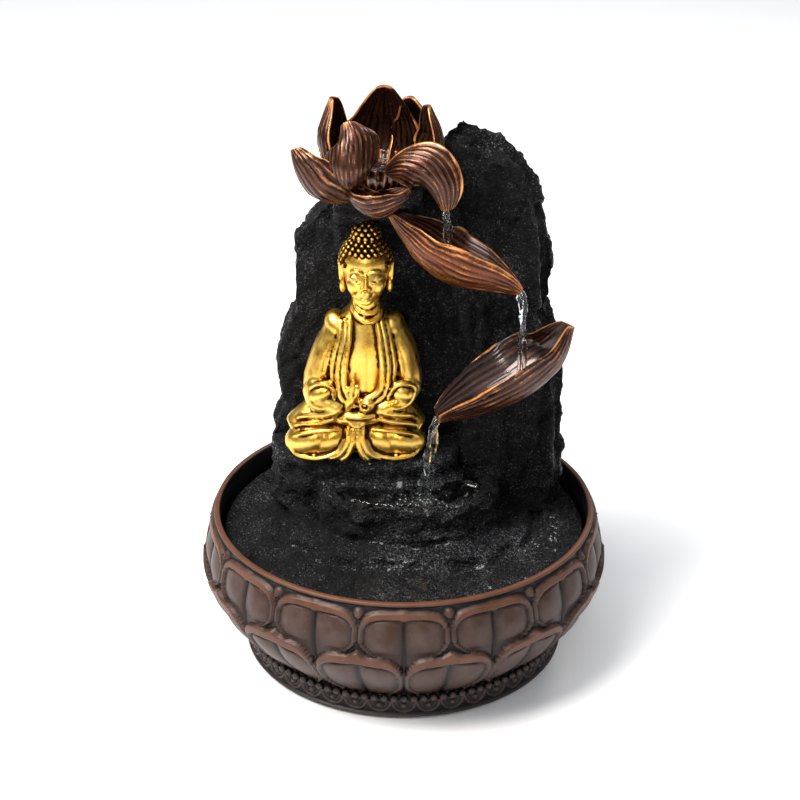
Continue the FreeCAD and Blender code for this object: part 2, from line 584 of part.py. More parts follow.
def rotor_magnet():
    """Round ferrite magnet of the synchronous motor."""
    y, z = PUMP_Y, PUMP_AXIS_Z
    front, back = MAGNET_X
    bore = rod(SHAFT_R + RUN_GAP, (front - 10, y, z), (back + 10, y, z))
    return rod(ROTOR_R, (front, y, z), (back, y, z)).cut(bore)


def impeller():
    """Hub, back plate and straight blades on the front end of the magnet."""
    y, z = PUMP_Y, PUMP_AXIS_Z
    front, back = PUMP_FRONT_X + 2.2, MAGNET_X[0]
    plate_x = back - 2.1
    plate = rod(ROTOR_R + 0.2, (plate_x, y, z), (back, y, z))
    hub = rod(3.2, (front, y, z), (plate_x + 0.6, y, z))
    blades = []
    for i in range(BLADE_COUNT):
        blade = box(front + 0.2, plate_x, y + 2.0, y + CHAMBER_R - 1.8, z - 0.6, z + 0.6)
        blade.rotate(V(0, y, z), V(1, 0, 0), i * 360.0 / BLADE_COUNT)
        blades.append(blade)
    bore = rod(SHAFT_R + RUN_GAP, (front - 10, y, z), (back + 10, y, z))
    return fuse([plate, hub] + blades).cut(bore)


def stator_core():
    """Laminated C-shaped core around the rotor sleeve."""
    y, z, w = PUMP_Y, PUMP_AXIS_Z, PUMP_HALF_W
    x0, x1 = CORE_X
    core = box(x0, x1, y - w + 3, y + w - 3, PUMP_BOTTOM_Z + 3, PUMP_TOP_Z - 3)
    window = box(x0 - 1, x1 + 1, y - 5.5, y + 5.5, z + 9.0, PUMP_TOP_Z - 6.0)
    bore = rod(ROTOR_BORE_R + SLEEVE_WALL + CORE_GAP, (x0 - 1, y, z), (x1 + 1, y, z))
    gap = box(x0 - 1, x1 + 1, y - 1.0, y + 1.0, PUMP_BOTTOM_Z, z)
    return core.cut(bore).cut(window).cut(gap)


def coil_winding():
    """Copper winding behind the core, with a blind bore for the end of the sleeve."""
    y, z = PUMP_Y, PUMP_AXIS_Z
    x0, x1 = COIL_X
    bore = rod(ROTOR_BORE_R + SLEEVE_WALL + CORE_GAP, (x0 - 2, y, z), (WELL_END_X + 2, y, z))
    return box(x0, x1, y - 10.0, y + 10.0, z - 9.0, z + 6.0).cut(bore)


def epoxy_potting():
    """Resin that closes the motor bay at the back of the housing."""
    y, w = PUMP_Y, PUMP_HALF_W
    off = PUMP_WALL + POT_GAP
    block = box(COIL_X[1] + 0.1, PUMP_BACK_X - 0.5, y - w + off, y + w - off, PUMP_BOTTOM_Z + off,
                PUMP_TOP_Z - off)
    return block.cut(rod(GLAND_R + 0.1, (GLAND_X, y, PUMP_TOP_Z - 7), (GLAND_X, y, PUMP_TOP_Z + 1)))


def lead_gland():
    """Rubber gland on top of the motor bay where the supply lead is sealed in."""
    x, y = GLAND_X, PUMP_Y
    collar = Part.makeCone(3.6, 2.4, 5.0, V(x, y, PUMP_TOP_Z + 0.8), V(0, 0, 1))
    flange = rod(4.6, (x, y, PUMP_TOP_Z), (x, y, PUMP_TOP_Z + 1))
    stem = rod(GLAND_R, (x, y, PUMP_TOP_Z - 5.5), (x, y, PUMP_TOP_Z + 0.5))
    hole = rod(LEAD_R, (x, y, PUMP_TOP_Z - 1.0), (x, y, PUMP_TOP_Z + 7))
    return fuse([collar, flange, stem]).cut(hole)


def intake_cover():
    """Slotted cap over the front of the pump that keeps grit out."""
    y, z, w = PUMP_Y, PUMP_AXIS_Z, PUMP_HALF_W
    x0, x1 = COVER_FRONT_X, PUMP_FRONT_X - 0.2
    cap = box(x0, x1, y - w, y + w, PUMP_BOTTOM_Z, PUMP_TOP_Z)
    cap = cap.makeFillet(PUMP_FILLET, long_edges(cap))
    cap = cap.cut(box(x0 + 1.8, x1 + 1, y - w + PUMP_WALL, y + w - PUMP_WALL, PUMP_BOTTOM_Z + PUMP_WALL,
                      PUMP_TOP_Z - PUMP_WALL))
    cap = cap.cut(rod(STEM_HOLE_R, (x0 - 1, y, z), (x0 + 3, y, z)))
    for i in range(-3, 4):
        # slots near the knob are short and come in pairs, above and below it
        spans = [(-14.2, -8.2), (8.2, 14.2)] if abs(i) < 2 else [(-12.0, 12.0)]
        middle = y + i * SLOT_PITCH
        for low, high in spans:
            cap = cap.cut(box(x0 - 1, x0 + 2.5, middle - SLOT_W / 2, middle + SLOT_W / 2, z + low, z + high))
    return cap


def flow_knob():
    """Knob with a stem and a shutter behind the grille, which throttles the intake."""
    y, z, x = PUMP_Y, PUMP_AXIS_Z, COVER_FRONT_X
    disc = rod(KNOB_R, (x - 3.2, y, z), (x - 0.2, y, z))
    grip = box(x - 5.4, x - 3.0, y - 1.2, y + 1.2, z - 6.2, z + 6.2)
    stem = rod(STEM_HOLE_R - 0.05, (x - 0.5, y, z), (x + 2.2, y, z))
    shutter = rod(8.5, (x + 2.1, y, z), (x + 3.5, y, z))
    window = box(x + 1, x + 5, y - 9, y + 9, z + 2.6, z + 9)
    return fuse([disc, grip, stem, shutter.cut(window)])


def filter_sponge():
    """Open-cell pad between the grille and the volute cover."""
    y, z, w = PUMP_Y, PUMP_AXIS_Z, PUMP_HALF_W
    x0 = COVER_FRONT_X + 4.4
    off = PUMP_WALL + 0.3
    pad = box(x0, x0 + 5.0, y - w + off, y + w - off, PUMP_BOTTOM_Z + off, PUMP_TOP_Z - off)
    return pad.cut(rod(3.0, (x0 - 1, y, z), (x0 + 6, y, z)))


def main():
    os.makedirs(OUT, exist_ok=True)
    nodes = {f.__name__: f() for f in (
        basin_bowl, foot_pads, cable_grommet, rock_tray, rock_wall, rear_cover, lotus_cup, riser_tube,
        tube_clips, seated_figure, pump_housing, suction_cups, volute_cover, volute_seal,
        shaft_bush_front, shaft_bush_rear, rotor_shaft, rotor_magnet, impeller, stator_core,
        coil_winding, epoxy_potting, lead_gland, intake_cover, flow_knob, filter_sponge)}
    rock = wall_block()
    for name, size in LEAVES.items():
        leaf = boat_leaf(**size)
        if name in STEMS:
            leaf = leaf.fuse(rod(STEM_R, *STEMS[name]))
        nodes[name] = leaf.cut(rock)
    for name, size in PETALS.items():
        nodes[name] = petal_solid(**size)
    for name, shape in nodes.items():
        solids = [s for s in shape.Solids if s.Volume > CHIP_VOLUME]
        whole = solids[0] if len(solids) == 1 else Part.makeCompound(solids)
        whole.exportStep(os.path.join(OUT, name + ".step"))
        reach = whole.BoundBox
        print(f"{name:20s} solids {len(solids)} volume {whole.Volume:10.1f} valid {whole.isValid()} "
              f"z {reach.ZMin:.1f}..{reach.ZMax:.1f}")


if __name__ == "__main__":
    main()
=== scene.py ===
import itertools
import json
import math

import bmesh
import bpy
import numpy as np
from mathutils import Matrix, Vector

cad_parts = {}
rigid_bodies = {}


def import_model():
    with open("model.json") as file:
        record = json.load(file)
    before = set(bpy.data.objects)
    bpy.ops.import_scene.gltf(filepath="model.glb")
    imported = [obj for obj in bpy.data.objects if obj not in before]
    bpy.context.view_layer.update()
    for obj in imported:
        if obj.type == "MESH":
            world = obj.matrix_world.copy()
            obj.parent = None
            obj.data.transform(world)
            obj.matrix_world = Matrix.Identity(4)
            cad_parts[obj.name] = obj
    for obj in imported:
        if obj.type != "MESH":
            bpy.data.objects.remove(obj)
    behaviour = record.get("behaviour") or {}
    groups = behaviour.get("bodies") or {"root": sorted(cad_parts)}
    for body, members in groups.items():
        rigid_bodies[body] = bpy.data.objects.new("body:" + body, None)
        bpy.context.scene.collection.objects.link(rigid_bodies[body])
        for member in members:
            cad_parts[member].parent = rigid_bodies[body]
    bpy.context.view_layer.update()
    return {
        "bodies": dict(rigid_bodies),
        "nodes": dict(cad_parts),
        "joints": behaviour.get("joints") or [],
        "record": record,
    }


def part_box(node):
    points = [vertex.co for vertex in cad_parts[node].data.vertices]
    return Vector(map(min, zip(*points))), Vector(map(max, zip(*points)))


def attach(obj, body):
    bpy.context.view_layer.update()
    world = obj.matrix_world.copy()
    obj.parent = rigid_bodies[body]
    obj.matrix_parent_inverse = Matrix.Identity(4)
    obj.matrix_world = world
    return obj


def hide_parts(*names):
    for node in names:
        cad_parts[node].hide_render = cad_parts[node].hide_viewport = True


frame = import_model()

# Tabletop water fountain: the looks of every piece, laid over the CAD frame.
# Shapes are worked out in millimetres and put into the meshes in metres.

MM = 0.001
SEED = 11

# Bowl, in millimetres, read from the frame where it can be
BOWL_LOW, BOWL_HIGH = (np.array(c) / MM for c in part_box("basin_bowl"))
RIM_Z = float(BOWL_HIGH[2])
FOOT_Z = float(BOWL_LOW[2])
PETALS_ROUND = 14
UPPER_ROW = (49.0, 72.6)          # lowest and highest point of the upper petals
LOWER_ROW = (16.5, 50.5)
PETAL_HALF_PITCH = 21.5            # from the middle of an upper petal to the joint beside it
BEAD_Z, BEAD_R = 69.3, 2.5         # bead between the shoulders of two upper petals
UNDERSIDE_Z, FLOOR_Z = 4.5, 8.0    # below and above the bowl's floor
NOTCH_HALF, NOTCH_Y, NOTCH_Z = 5.0, 88.0, 62.0     # where the lead leaves, cut into the rim at the back
BOWL_STEPS = 616                   # points round the bowl
BEADS_ROUND = 107
BEAD_RING_R, BEAD_RING_Z = 81.0, 12.9
SCALLOPS_ROUND = 42
SCALLOP_R = 80.0                   # where the scallops' pitch is measured
BAND_R, BAND_INNER_R, BAND_TOP_Z = 79.3, 77.0, 10.6
LEDGE_Z = float(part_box("seated_figure")[0][2] / MM)
FIGURE_X, FIGURE_Y = -22.5, 4.0
FLOWER = np.array([-12.0, 0.0, 247.0])


# Numbers over space -----------------------------------------------------------------------------

def lattice(cell, seed):
    """A fixed pseudo-random number from 0 to 1 for each whole-number lattice point."""
    h = cell[..., 0] * 73856093 ^ cell[..., 1] * 19349663 ^ cell[..., 2] * 83492791 ^ (seed + SEED) * 26544357
    h = (h ^ (h >> 13)) * 1274126177 & 0x7FFFFFFF
    return ((h ^ (h >> 15)) & 0xFFFFF) / 0xFFFFF


def noise(p, size, seed=0):
    """Smooth noise from -1 to 1: the eight lattice values round a point, blended by cubic weights."""
    q = np.asarray(p, float) / size
    cell = np.floor(q).astype(np.int64)
    f = q - cell
    w = f * f * (3.0 - 2.0 * f)
    total = 0.0
    for corner in itertools.product((0, 1), repeat=3):
        weight = np.prod(np.where(np.array(corner) == 1, w, 1.0 - w), axis=-1)
        total = total + weight * lattice(cell + np.array(corner), seed)
    return total * 2.0 - 1.0


def fractal(p, size, octaves=4, seed=0):
    """Noise added to itself, each octave half the size and half the height of the one before."""
    return sum(noise(p, size * 0.5 ** k, seed + k) * 0.5 ** k for k in range(octaves))


def cells(p, size, seed=0):
    """Distances to the nearest and second nearest of scattered points, one to each lattice cell, and a
    random number that is the same all over the nearest point's cell."""
    q = np.asarray(p, float) / np.asarray(size, float)
    base = np.floor(q).astype(np.int64)
    first = np.full(q.shape[:-1], 9.0)
    second = first.copy()
    label = first.copy()
    for step in itertools.product((-1, 0, 1), repeat=3):
        cell = base + np.array(step)
        point = cell + np.stack([lattice(cell, seed + k) for k in (1, 2, 3)], axis=-1)
        d = np.linalg.norm(q - point, axis=-1)
        closer = d < first
        second = np.where(closer, first, np.minimum(second, d))
        label = np.where(closer, lattice(cell, seed + 7), label)
        first = np.minimum(first, d)
    return first, second, label


def step_up(low, high, x):
    """0 below low, 1 above high, and a smooth cubic rise between them."""
    t = np.clip((x - low) / (high - low), 0.0, 1.0)
    return t * t * (3.0 - 2.0 * t)


def spline(points, samples):
    """Smooth curve through points: a cubic between each pair, with the slope of its neighbours' chord."""
    p = np.asarray(points, float)
    p = np.vstack([2 * p[:1] - p[1:2], p, 2 * p[-1:] - p[-2:-1]])
    t = np.linspace(0.0, len(p) - 3.000001, samples)
    i = t.astype(int)
    f = (t - i)[:, None]
    a, b, c, d = p[i], p[i + 1], p[i + 2], p[i + 3]
    return b + 0.5 * f * (c - a + f * (2 * a - 5 * b + 4 * c - d + f * (3 * (b - c) + d - a)))


def unit(v):
    """Vectors divided by their length."""
    return v / np.maximum(np.linalg.norm(v, axis=-1, keepdims=True), 1e-9)


# Meshes -----------------------------------------------------------------------------------------

def grid_faces(rows, columns, wrap_rows=False, wrap_columns=False):
    """Four-sided faces over a grid of points numbered row by row."""
    i = np.arange(rows if wrap_rows else rows - 1)
    j = np.arange(columns if wrap_columns else columns - 1)
    a, b = (g.ravel() for g in np.meshgrid(i, j, indexing="ij"))
    a2, b2 = (a + 1) % rows, (b + 1) % columns
    return np.stack([a * columns + b, a2 * columns + b, a2 * columns + b2, a * columns + b2], axis=1)


def closed_tube(rings):
    """Closed skin over rings of points, rings[k, j]: faces between rings, and a fan to the middle of each
    end ring. Returns points and faces."""
    rows, columns = rings.shape[:2]
    points = np.vstack([rings.reshape(-1, 3), rings[0].mean(axis=0)[None], rings[-1].mean(axis=0)[None]])
    faces = grid_faces(rows, columns, wrap_columns=True).tolist()
    last = (rows - 1) * columns
    for j in range(columns):
        k = (j + 1) % columns
        faces.append([rows * columns, k, j])
        faces.append([rows * columns + 1, last + j, last + k])
    return points, faces


def gather(parts):
    """One point list and face list from several."""
    points, faces, start = [], [], 0
    for p, f in parts:
        points.append(p)
        faces.extend([[i + start for i in face] for face in f])
        start += len(p)
    return np.vstack(points), faces


def raw_mesh(name, points, faces):
    """A mesh in metres from points in millimetres."""
    mesh = bpy.data.meshes.new(name)
    mesh.from_pydata((np.asarray(points) * MM).tolist(), [], [list(f) for f in faces])
    mesh.validate()
    return mesh


def piece(name, points, faces, finish, body, stands_for=(), values=None, turn_out=True):
    """Makes a shown piece: its mesh, its finish, the values its finish reads, and the body it rides on."""
    mesh = raw_mesh(name, points, faces)
    if turn_out:
        work = bmesh.new()
        work.from_mesh(mesh)
        bmesh.ops.recalc_face_normals(work, faces=work.faces)
        work.to_mesh(mesh)
        work.free()
    mesh.shade_smooth()
    for key, numbers in (values or {}).items():
        mesh.attributes.new(key, "FLOAT", "POINT").data.foreach_set("value", np.asarray(numbers, np.float32))
    mesh.materials.append(finish)
    thing = bpy.data.objects.new(name, mesh)
    bpy.context.scene.collection.objects.link(thing)
    if stands_for:
        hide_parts(*stands_for)
    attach(thing, body)
    return thing


def read_mesh(mesh):
    """Points in millimetres, faces, edges and outward unit normals of a mesh, as arrays."""
    count = len(mesh.vertices)
    points = np.empty(count * 3)
    mesh.vertices.foreach_get("co", points)
    normals = np.empty(count * 3)
    mesh.vertex_normals.foreach_get("vector", normals)
    edges = np.empty(len(mesh.edges) * 2, int)
    mesh.edges.foreach_get("vertices", edges)
    faces = [list(f.vertices) for f in mesh.polygons]
    return points.reshape(-1, 3) / MM, faces, edges.reshape(-1, 2), normals.reshape(-1, 3)


def remeshed(mesh, voxel, smoothing=0):
    """Even skin over everything in a mesh: one closed surface of small squares, voxel millimetres wide."""
    thing = bpy.data.objects.new("remesh_work", mesh)
    bpy.context.scene.collection.objects.link(thing)
    skin = thing.modifiers.new("skin", "REMESH")
    skin.mode = "VOXEL"
    skin.voxel_size = voxel * MM
    if smoothing:
        soften = thing.modifiers.new("soften", "SMOOTH")
        soften.factor = 0.5
        soften.iterations = smoothing
    graph = bpy.context.evaluated_depsgraph_get()
    result = bpy.data.meshes.new_from_object(thing.evaluated_get(graph))
    bpy.data.objects.remove(thing)
    return read_mesh(result)


def spread(values, edges, rounds):
    """Values averaged with their neighbours along the edges, round after round."""
    count = np.zeros(len(values))
    np.add.at(count, edges[:, 0], 1)
    np.add.at(count, edges[:, 1], 1)
    for _ in range(rounds):
        total = np.zeros_like(values)
        np.add.at(total, edges[:, 0], values[edges[:, 1]])
        np.add.at(total, edges[:, 1], values[edges[:, 0]])
        mean = total / np.maximum(count, 1)[:, None] if values.ndim == 2 else total / np.maximum(count, 1)
        values = 0.5 * values + 0.5 * mean
    return values


def hollowness(points, edges, normals, reach):
    """How deep each point lies below its neighbourhood, in millimetres: positive in grooves, negative on
    edges. The neighbourhood is reach rounds of averaging wide."""
    return np.einsum("ij,ij->i", spread(points, edges, reach) - points, normals)


# Finishes ---------------------------------------------------------------------------------------

class Number:
    """A value inside a finish. Arithmetic on it adds Math nodes."""

    def __init__(self, finish, socket):
        self.finish, self.socket = finish, socket

    def maths(self, operation, a, b):
        return self.finish.node("ShaderNodeMath", {"operation": operation}, {0: a, 1: b})

    def __add__(self, other):
        return self.maths("ADD", self, other)

    def __sub__(self, other):
        return self.maths("SUBTRACT", self, other)

    def __rsub__(self, other):
        return self.maths("SUBTRACT", other, self)

    def __mul__(self, other):
        return self.maths("MULTIPLY", self, other)

    __radd__ = __add__
    __rmul__ = __mul__


class Finish:
    """A material under construction. Constants go on the shader's own sockets."""

    def __init__(self, name, **constants):
        self.material = bpy.data.materials.new(name)
        self.material.use_nodes = True
        self.tree = self.material.node_tree
        self.shader = self.tree.nodes["Principled BSDF"]
        for key, value in constants.items():
            self.shader.inputs[key.replace("_", " ")].default_value = value
        self.place = self.node("ShaderNodeTexCoord", output="Object")

    def node(self, kind, settings=None, inputs=None, output=0):
        """Adds a node, with its settings first and then the values or links of its sockets."""
        made = self.tree.nodes.new(kind)
        for key, value in (settings or {}).items():
            setattr(made, key, value)
        for key, value in (inputs or {}).items():
            if isinstance(value, Number):
                self.tree.links.new(value.socket, made.inputs[key])
            else:
                made.inputs[key].default_value = value
        return Number(self, made.outputs[output])

    def value(self, name):
        """A number stored on the piece's own points."""
        return self.node("ShaderNodeAttribute", {"attribute_name": name}, output="Fac")

    def grain(self, size, detail=3.0, roughness=0.55):
        """Noise from about 0 to 1 with features of size millimetres."""
        return self.node("ShaderNodeTexNoise", inputs={
            "Vector": self.place, "Scale": 1.0 / (size * MM), "Detail": detail,
            "Roughness": roughness})

    def pits(self, size):
        """Distance to scattered points about size millimetres apart."""
        return self.node("ShaderNodeTexVoronoi", None, {"Vector": self.place, "Scale": 1.0 / (size * MM)},
                         "Distance")

    def rise(self, value, low, high, bottom=0.0, top=1.0):
        """bottom below low, top above high, straight between."""
        return self.node("ShaderNodeMapRange", {"clamp": True}, {
            "Value": value, "From Min": low, "From Max": high, "To Min": bottom, "To Max": top})

    def blend(self, amount, first, second):
        """Colour that goes from first to second as amount goes from 0 to 1."""
        pair = [c if isinstance(c, Number) else (*c, 1.0) for c in (first, second)]
        return self.node("ShaderNodeMix", {"data_type": "RGBA"}, {0: amount, 6: pair[0], 7: pair[1]}, 2)

    def emboss(self, height, depth, strength=1.0):
        """Bump of depth millimetres, fed to the shader's normal."""
        bump = self.node("ShaderNodeBump", inputs={"Height": height, "Distance": depth * MM,
                                                   "Strength": strength})
        self.feed(Normal=bump)

    def feed(self, **links):
        """Links numbers or colours to the shader's sockets of the same names."""
        for key, value in links.items():
            self.tree.links.new(value.socket, self.shader.inputs[key.replace("_", " ")])


def bowl_bronze():
    """Brown resin with a dark wash and painted shade in its hollows and copper rubbed onto its high edges."""
    f = Finish("bowl bronze", Metallic=0.15, Specular_IOR_Level=0.26)
    relief = f.value("relief")
    cloud = f.grain(9.0, 4.0)
    speck = f.grain(1.1, 3.0)
    panel = f.blend(f.rise(cloud, 0.36, 0.64), (0.042, 0.018, 0.0115), (0.062, 0.039, 0.033))
    # near-black where the relief is low: dark wash and painted shade round and inside the petals
    washed_and_shaded = f.blend(f.rise(relief + (speck - 0.5) * 0.2, 0.06, 0.42), (0.005, 0.004, 0.004), panel)
    rubbed = f.rise(relief + (cloud - 0.5) * 0.40 + (speck - 0.5) * 0.15, 0.60, 1.0)
    f.feed(Base_Color=f.blend(rubbed * 0.8, washed_and_shaded, (0.125, 0.046, 0.020)))
    f.feed(Roughness=f.rise(cloud + rubbed * 0.2, 0.3, 0.9, 0.40, 0.52))
    f.emboss(speck * 0.6 + f.grain(0.35, 2.0) * 0.4, 0.12, 0.4)
    return f.material


def foot_bronze():
    """The same wash, nearly black, for the beaded foot."""
    f = Finish("foot bronze", Metallic=0.2, Specular_IOR_Level=0.4)
    relief = f.value("relief")
    speck = f.grain(1.3, 3.0)
    worn = f.rise(relief + (speck - 0.5) * 0.5, 0.45, 1.05)
    f.feed(Base_Color=f.blend(worn, (0.005, 0.004, 0.004), (0.055, 0.031, 0.023)))
    f.feed(Roughness=f.rise(speck, 0.3, 0.7, 0.38, 0.52))
    f.emboss(speck, 0.15, 0.5)
    return f.material


def inner_black():
    """Near-black lining inside the bowl."""
    f = Finish("inner black", Specular_IOR_Level=0.3)
    cloud = f.grain(14.0)
    f.feed(Base_Color=f.blend(cloud, (0.004, 0.004, 0.004), (0.010, 0.0095, 0.009)))
    f.feed(Roughness=f.rise(cloud, 0.3, 0.7, 0.45, 0.62))
    f.emboss(f.grain(0.9, 4.0), 0.15, 0.4)
    return f.material


def wet_rock(name, wet, tint):
    """Near-black cast stone: gritty, with crevices, a little grey dust, light specks that are partly grit and
    partly painted glints, denser where wet, and small wet facets that glint.
    """
    f = Finish(name, Specular_IOR_Level=0.16, Coat_Roughness=0.07)
    hollow = f.value("hollow")
    cloud = f.grain(17.0, 4.0)
    grit = f.grain(1.25, 5.0, 0.72)
    crumbs = f.pits(1.5)
    chips = f.pits(4.2)
    base = f.blend(f.rise(cloud, 0.35, 0.7), (0.0030, 0.0030, 0.0035), tint)
    dust = f.rise(grit - hollow * 0.25, 0.55, 0.86)
    # light grey specks: partly grit in the stone, partly painted glints, a little denser where wet
    grit_and_painted_glint = f.rise(f.grain(0.85, 2.0, 0.6) + (cloud - 0.5) * 0.25 + f.value("wet") * 0.05, 0.62, 0.70)
    dusted = f.blend(dust * 0.16, base, (0.040, 0.041, 0.046))
    f.feed(Base_Color=f.blend(grit_and_painted_glint * 0.55, dusted, (0.17, 0.17, 0.18)))
    spray = f.rise(f.grain(1.5, 3.0, 0.6) + f.value("wet") * 0.14 + (cloud - 0.5) * 0.30, 0.56, 0.62)
    f.feed(Roughness=(1.0 - spray) * 0.66 + 0.11)
    f.feed(Coat_Weight=spray * (0.1 + 0.3 * wet))
    f.emboss(grit + (1.0 - crumbs) * 0.8 + (1.0 - chips) * 0.9 + f.grain(0.45, 3.0) * 0.3, 1.0, 1.15)
    return f.material


def gold_leaf():
    """Bright gold paint with a brown wash left in its folds, painted shade in the larger recesses, and a little
    rubbed bare.
    """
    f = Finish("gold paint", Metallic=1.0, Specular_IOR_Level=0.5)
    hollow = f.value("hollow")
    cloud = f.grain(8.0, 4.0)
    speck = f.grain(1.4, 4.0, 0.65)
    bright = f.blend(f.rise(cloud, 0.35, 0.7), (0.80, 0.43, 0.055), (1.0, 0.68, 0.17))
    # dark brown where hollow: the wash in the folds, and painted shade in the larger recesses
    wash = f.rise(hollow + (speck - 0.5) * 0.13 + (cloud - 0.5) * 0.10, -0.01, 0.12)
    f.feed(Base_Color=f.blend(wash, bright, (0.040, 0.015, 0.003)))
    f.feed(Roughness=f.rise(cloud + wash * 0.3, 0.3, 1.0, 0.24, 0.48))
    f.emboss(speck * 0.7 + f.grain(0.4, 2.0) * 0.3, 0.13, 0.6)
    return f.material


def leaf_copper(name, body_colour, copper_highlight_colour, groove_shade_colour):
    """Bronze paint on the leaves and petals: painted shade between the ribs, and painted highlights, copper to
    gold, on ribs and edges.
    """
    f = Finish(name, Metallic=0.66, Specular_IOR_Level=0.3, Coat_Roughness=0.12)
    rib = f.value("rib")
    edge = f.value("edge")
    cloud = f.grain(6.0, 4.0)
    speck = f.grain(1.2, 4.0, 0.65)
    # dark between the ribs: painted shade in the grooves
    groove = f.rise(rib + (speck - 0.5) * 0.4, 0.24, 0.62)
    ground = f.blend(groove, groove_shade_colour, body_colour)
    # copper to gold on ribs and edges: painted highlights
    painted_shine = f.rise(edge * 0.7 + (cloud - 0.5) * 1.3 + (speck - 0.5) * 0.6 + (rib - 0.55) * 1.5, 0.36, 0.92)
    f.feed(Base_Color=f.blend(painted_shine, ground, copper_highlight_colour))
    f.feed(Roughness=f.rise(cloud, 0.3, 0.7, 0.23, 0.40))
    f.feed(Coat_Weight=f.value("wet"))
    f.emboss(speck * 0.7 + f.grain(0.45, 2.0) * 0.3, 0.18, 0.6)
    return f.material


def moulding(name, colour, rough, grain_size=0.5, depth=0.03):
    """Moulded plastic or rubber with a fine grain and a slight cloud in its gloss."""
    f = Finish(name, Specular_IOR_Level=0.5)
    cloud = f.grain(11.0)
    light = tuple(min(1.0, c * 1.25 + 0.004) for c in colour)
    f.feed(Base_Color=f.blend(f.rise(cloud, 0.3, 0.7), colour, light))
    f.feed(Roughness=f.rise(cloud, 0.3, 0.7, rough, min(1.0, rough + 0.12)))
    f.emboss(f.grain(grain_size, 2.0), depth, 0.6)
    return f.material


def wound_copper():
    """Enamelled wire laid side by side, dark in the groove between turns and bright on each crown: painted
    shade and painted highlight.
    """
    f = Finish("wound copper", Metallic=1.0)
    turns = f.node("ShaderNodeTexWave", {"bands_direction": "X"}, {
        "Vector": f.place, "Scale": 700.0, "Distortion": 0.4}, "Fac")
    # dark between turns and bright on their crowns: painted shade and painted highlight
    f.feed(Base_Color=f.blend(turns, (0.20, 0.06, 0.02), (0.75, 0.33, 0.14)))
    f.feed(Roughness=f.rise(turns, 0.0, 1.0, 0.45, 0.25))
    f.emboss(turns, 0.2)
    return f.material


def stacked_steel():
    """Punched steel sheets seen edge on."""
    f = Finish("stacked steel", Metallic=1.0)
    sheets = f.node("ShaderNodeTexWave", {"bands_direction": "X"}, {
        "Vector": f.place, "Scale": 500.0, "Distortion": 0.2}, "Fac")
    f.feed(Base_Color=f.blend(sheets, (0.16, 0.165, 0.17), (0.46, 0.47, 0.48)))
    f.feed(Roughness=f.rise(f.grain(3.0), 0.3, 0.7, 0.35, 0.55))
    f.emboss(sheets, 0.1)
    return f.material


def clear_vinyl():
    """Clear hose, slightly cloudy."""
    f = Finish("clear vinyl", Transmission_Weight=0.85, IOR=1.45)
    cloud = f.grain(6.0)
    f.feed(Base_Color=f.blend(cloud, (0.80, 0.86, 0.86), (0.93, 0.96, 0.96)))
    f.feed(Roughness=f.rise(cloud, 0.3, 0.7, 0.08, 0.2))
    return f.material


def open_foam():
    """Open-cell filter foam, near-black in its pits: painted shade in the pores."""
    f = Finish("open foam")
    holes = f.pits(0.9)
    # near-black in the pits: painted shade in the pores
    f.feed(Base_Color=f.blend(f.rise(holes, 0.1, 0.55), (0.004, 0.004, 0.005), (0.07, 0.075, 0.08)))
    f.feed(Roughness=f.rise(holes, 0.0, 1.0, 0.95, 0.8))
    f.emboss(holes, 0.6)
    return f.material


def clear_water(name, ripple):
    """Clear water; its surface is broken by small ripples."""
    f = Finish(name, Transmission_Weight=1.0, IOR=1.333, Roughness=0.02, Specular_IOR_Level=0.5)
    cloud = f.grain(5.0)
    f.feed(Base_Color=f.blend(cloud, (0.90, 0.95, 0.97), (0.98, 1.0, 1.0)))
    f.emboss(f.grain(ripple, 2.0), 0.35, 0.5)
    return f.material


# Bowl -------------------------------------------------------------------------------------------

OUTSIDE = spline([(77.2, 12.0), (83.5, 19.0), (91.0, 28.0), (96.9, 38.0), (99.2, 47.0), (98.7, 56.0),
                  (96.4, 66.0), (94.9, 71.5), (94.9, RIM_Z)], 200)
INSIDE = [(91.8, 66.0), (94.0, 57.0), (94.6, 47.0), (92.5, 38.0), (86.5, 28.0), (79.0, 19.0), (70.0, 10.0),
          (62.0, FLOOR_Z), (30.0, FLOOR_Z), (2.0, FLOOR_Z)]


def petal_row(u, v, pointed):
    """One row of petals. u is -1 to 1 across a petal and v 0 to 1 up it. A petal is where
    1 - |u / width|^5 - (rise above its shoulders)^2.4 is positive. It has a rolled frame, and inside that two
    swelling lobes with a crease between them. Returns that inside-ness, the height in mm and the wear."""
    tip = np.exp(-(u / 0.14) ** 2)
    lift = np.clip((v - pointed * 0.07 * tip - 0.42) / 0.52, 0.0, None)
    width = 0.985 - 0.30 * np.clip((0.34 - v) / 0.34, 0.0, 1.0) ** 2
    inside = 1.0 - np.abs(u / width) ** 5 - lift ** 2.4
    frame_edge = 0.40 + 0.22 * step_up(0.45, 0.9, v) + 0.12 * np.exp(-(u / 0.10) ** 2)
    frame = step_up(0.0, 0.10, inside) * (1.0 - step_up(frame_edge - 0.06, frame_edge + 0.05, inside))
    panel = step_up(frame_edge, frame_edge + 0.16, inside)
    lobe = np.sin(np.pi * np.clip(np.abs(u) / 0.92, 0.0, 1.0)) ** 0.8
    lobe = lobe * np.sin(np.pi * np.clip(v, 0.03, 0.97)) ** 0.5
    crease = np.exp(-(u / 0.030) ** 2)
    top = step_up(0.5, 0.9, v)
    height = (1.9 + 0.5 * top) * frame + panel * (-0.3 + 2.3 * lobe - 1.1 * crease)
    wear = frame * (0.50 + 0.40 * top) + panel * (0.16 + 0.40 * lobe - 0.40 * crease)
    return inside, height, wear


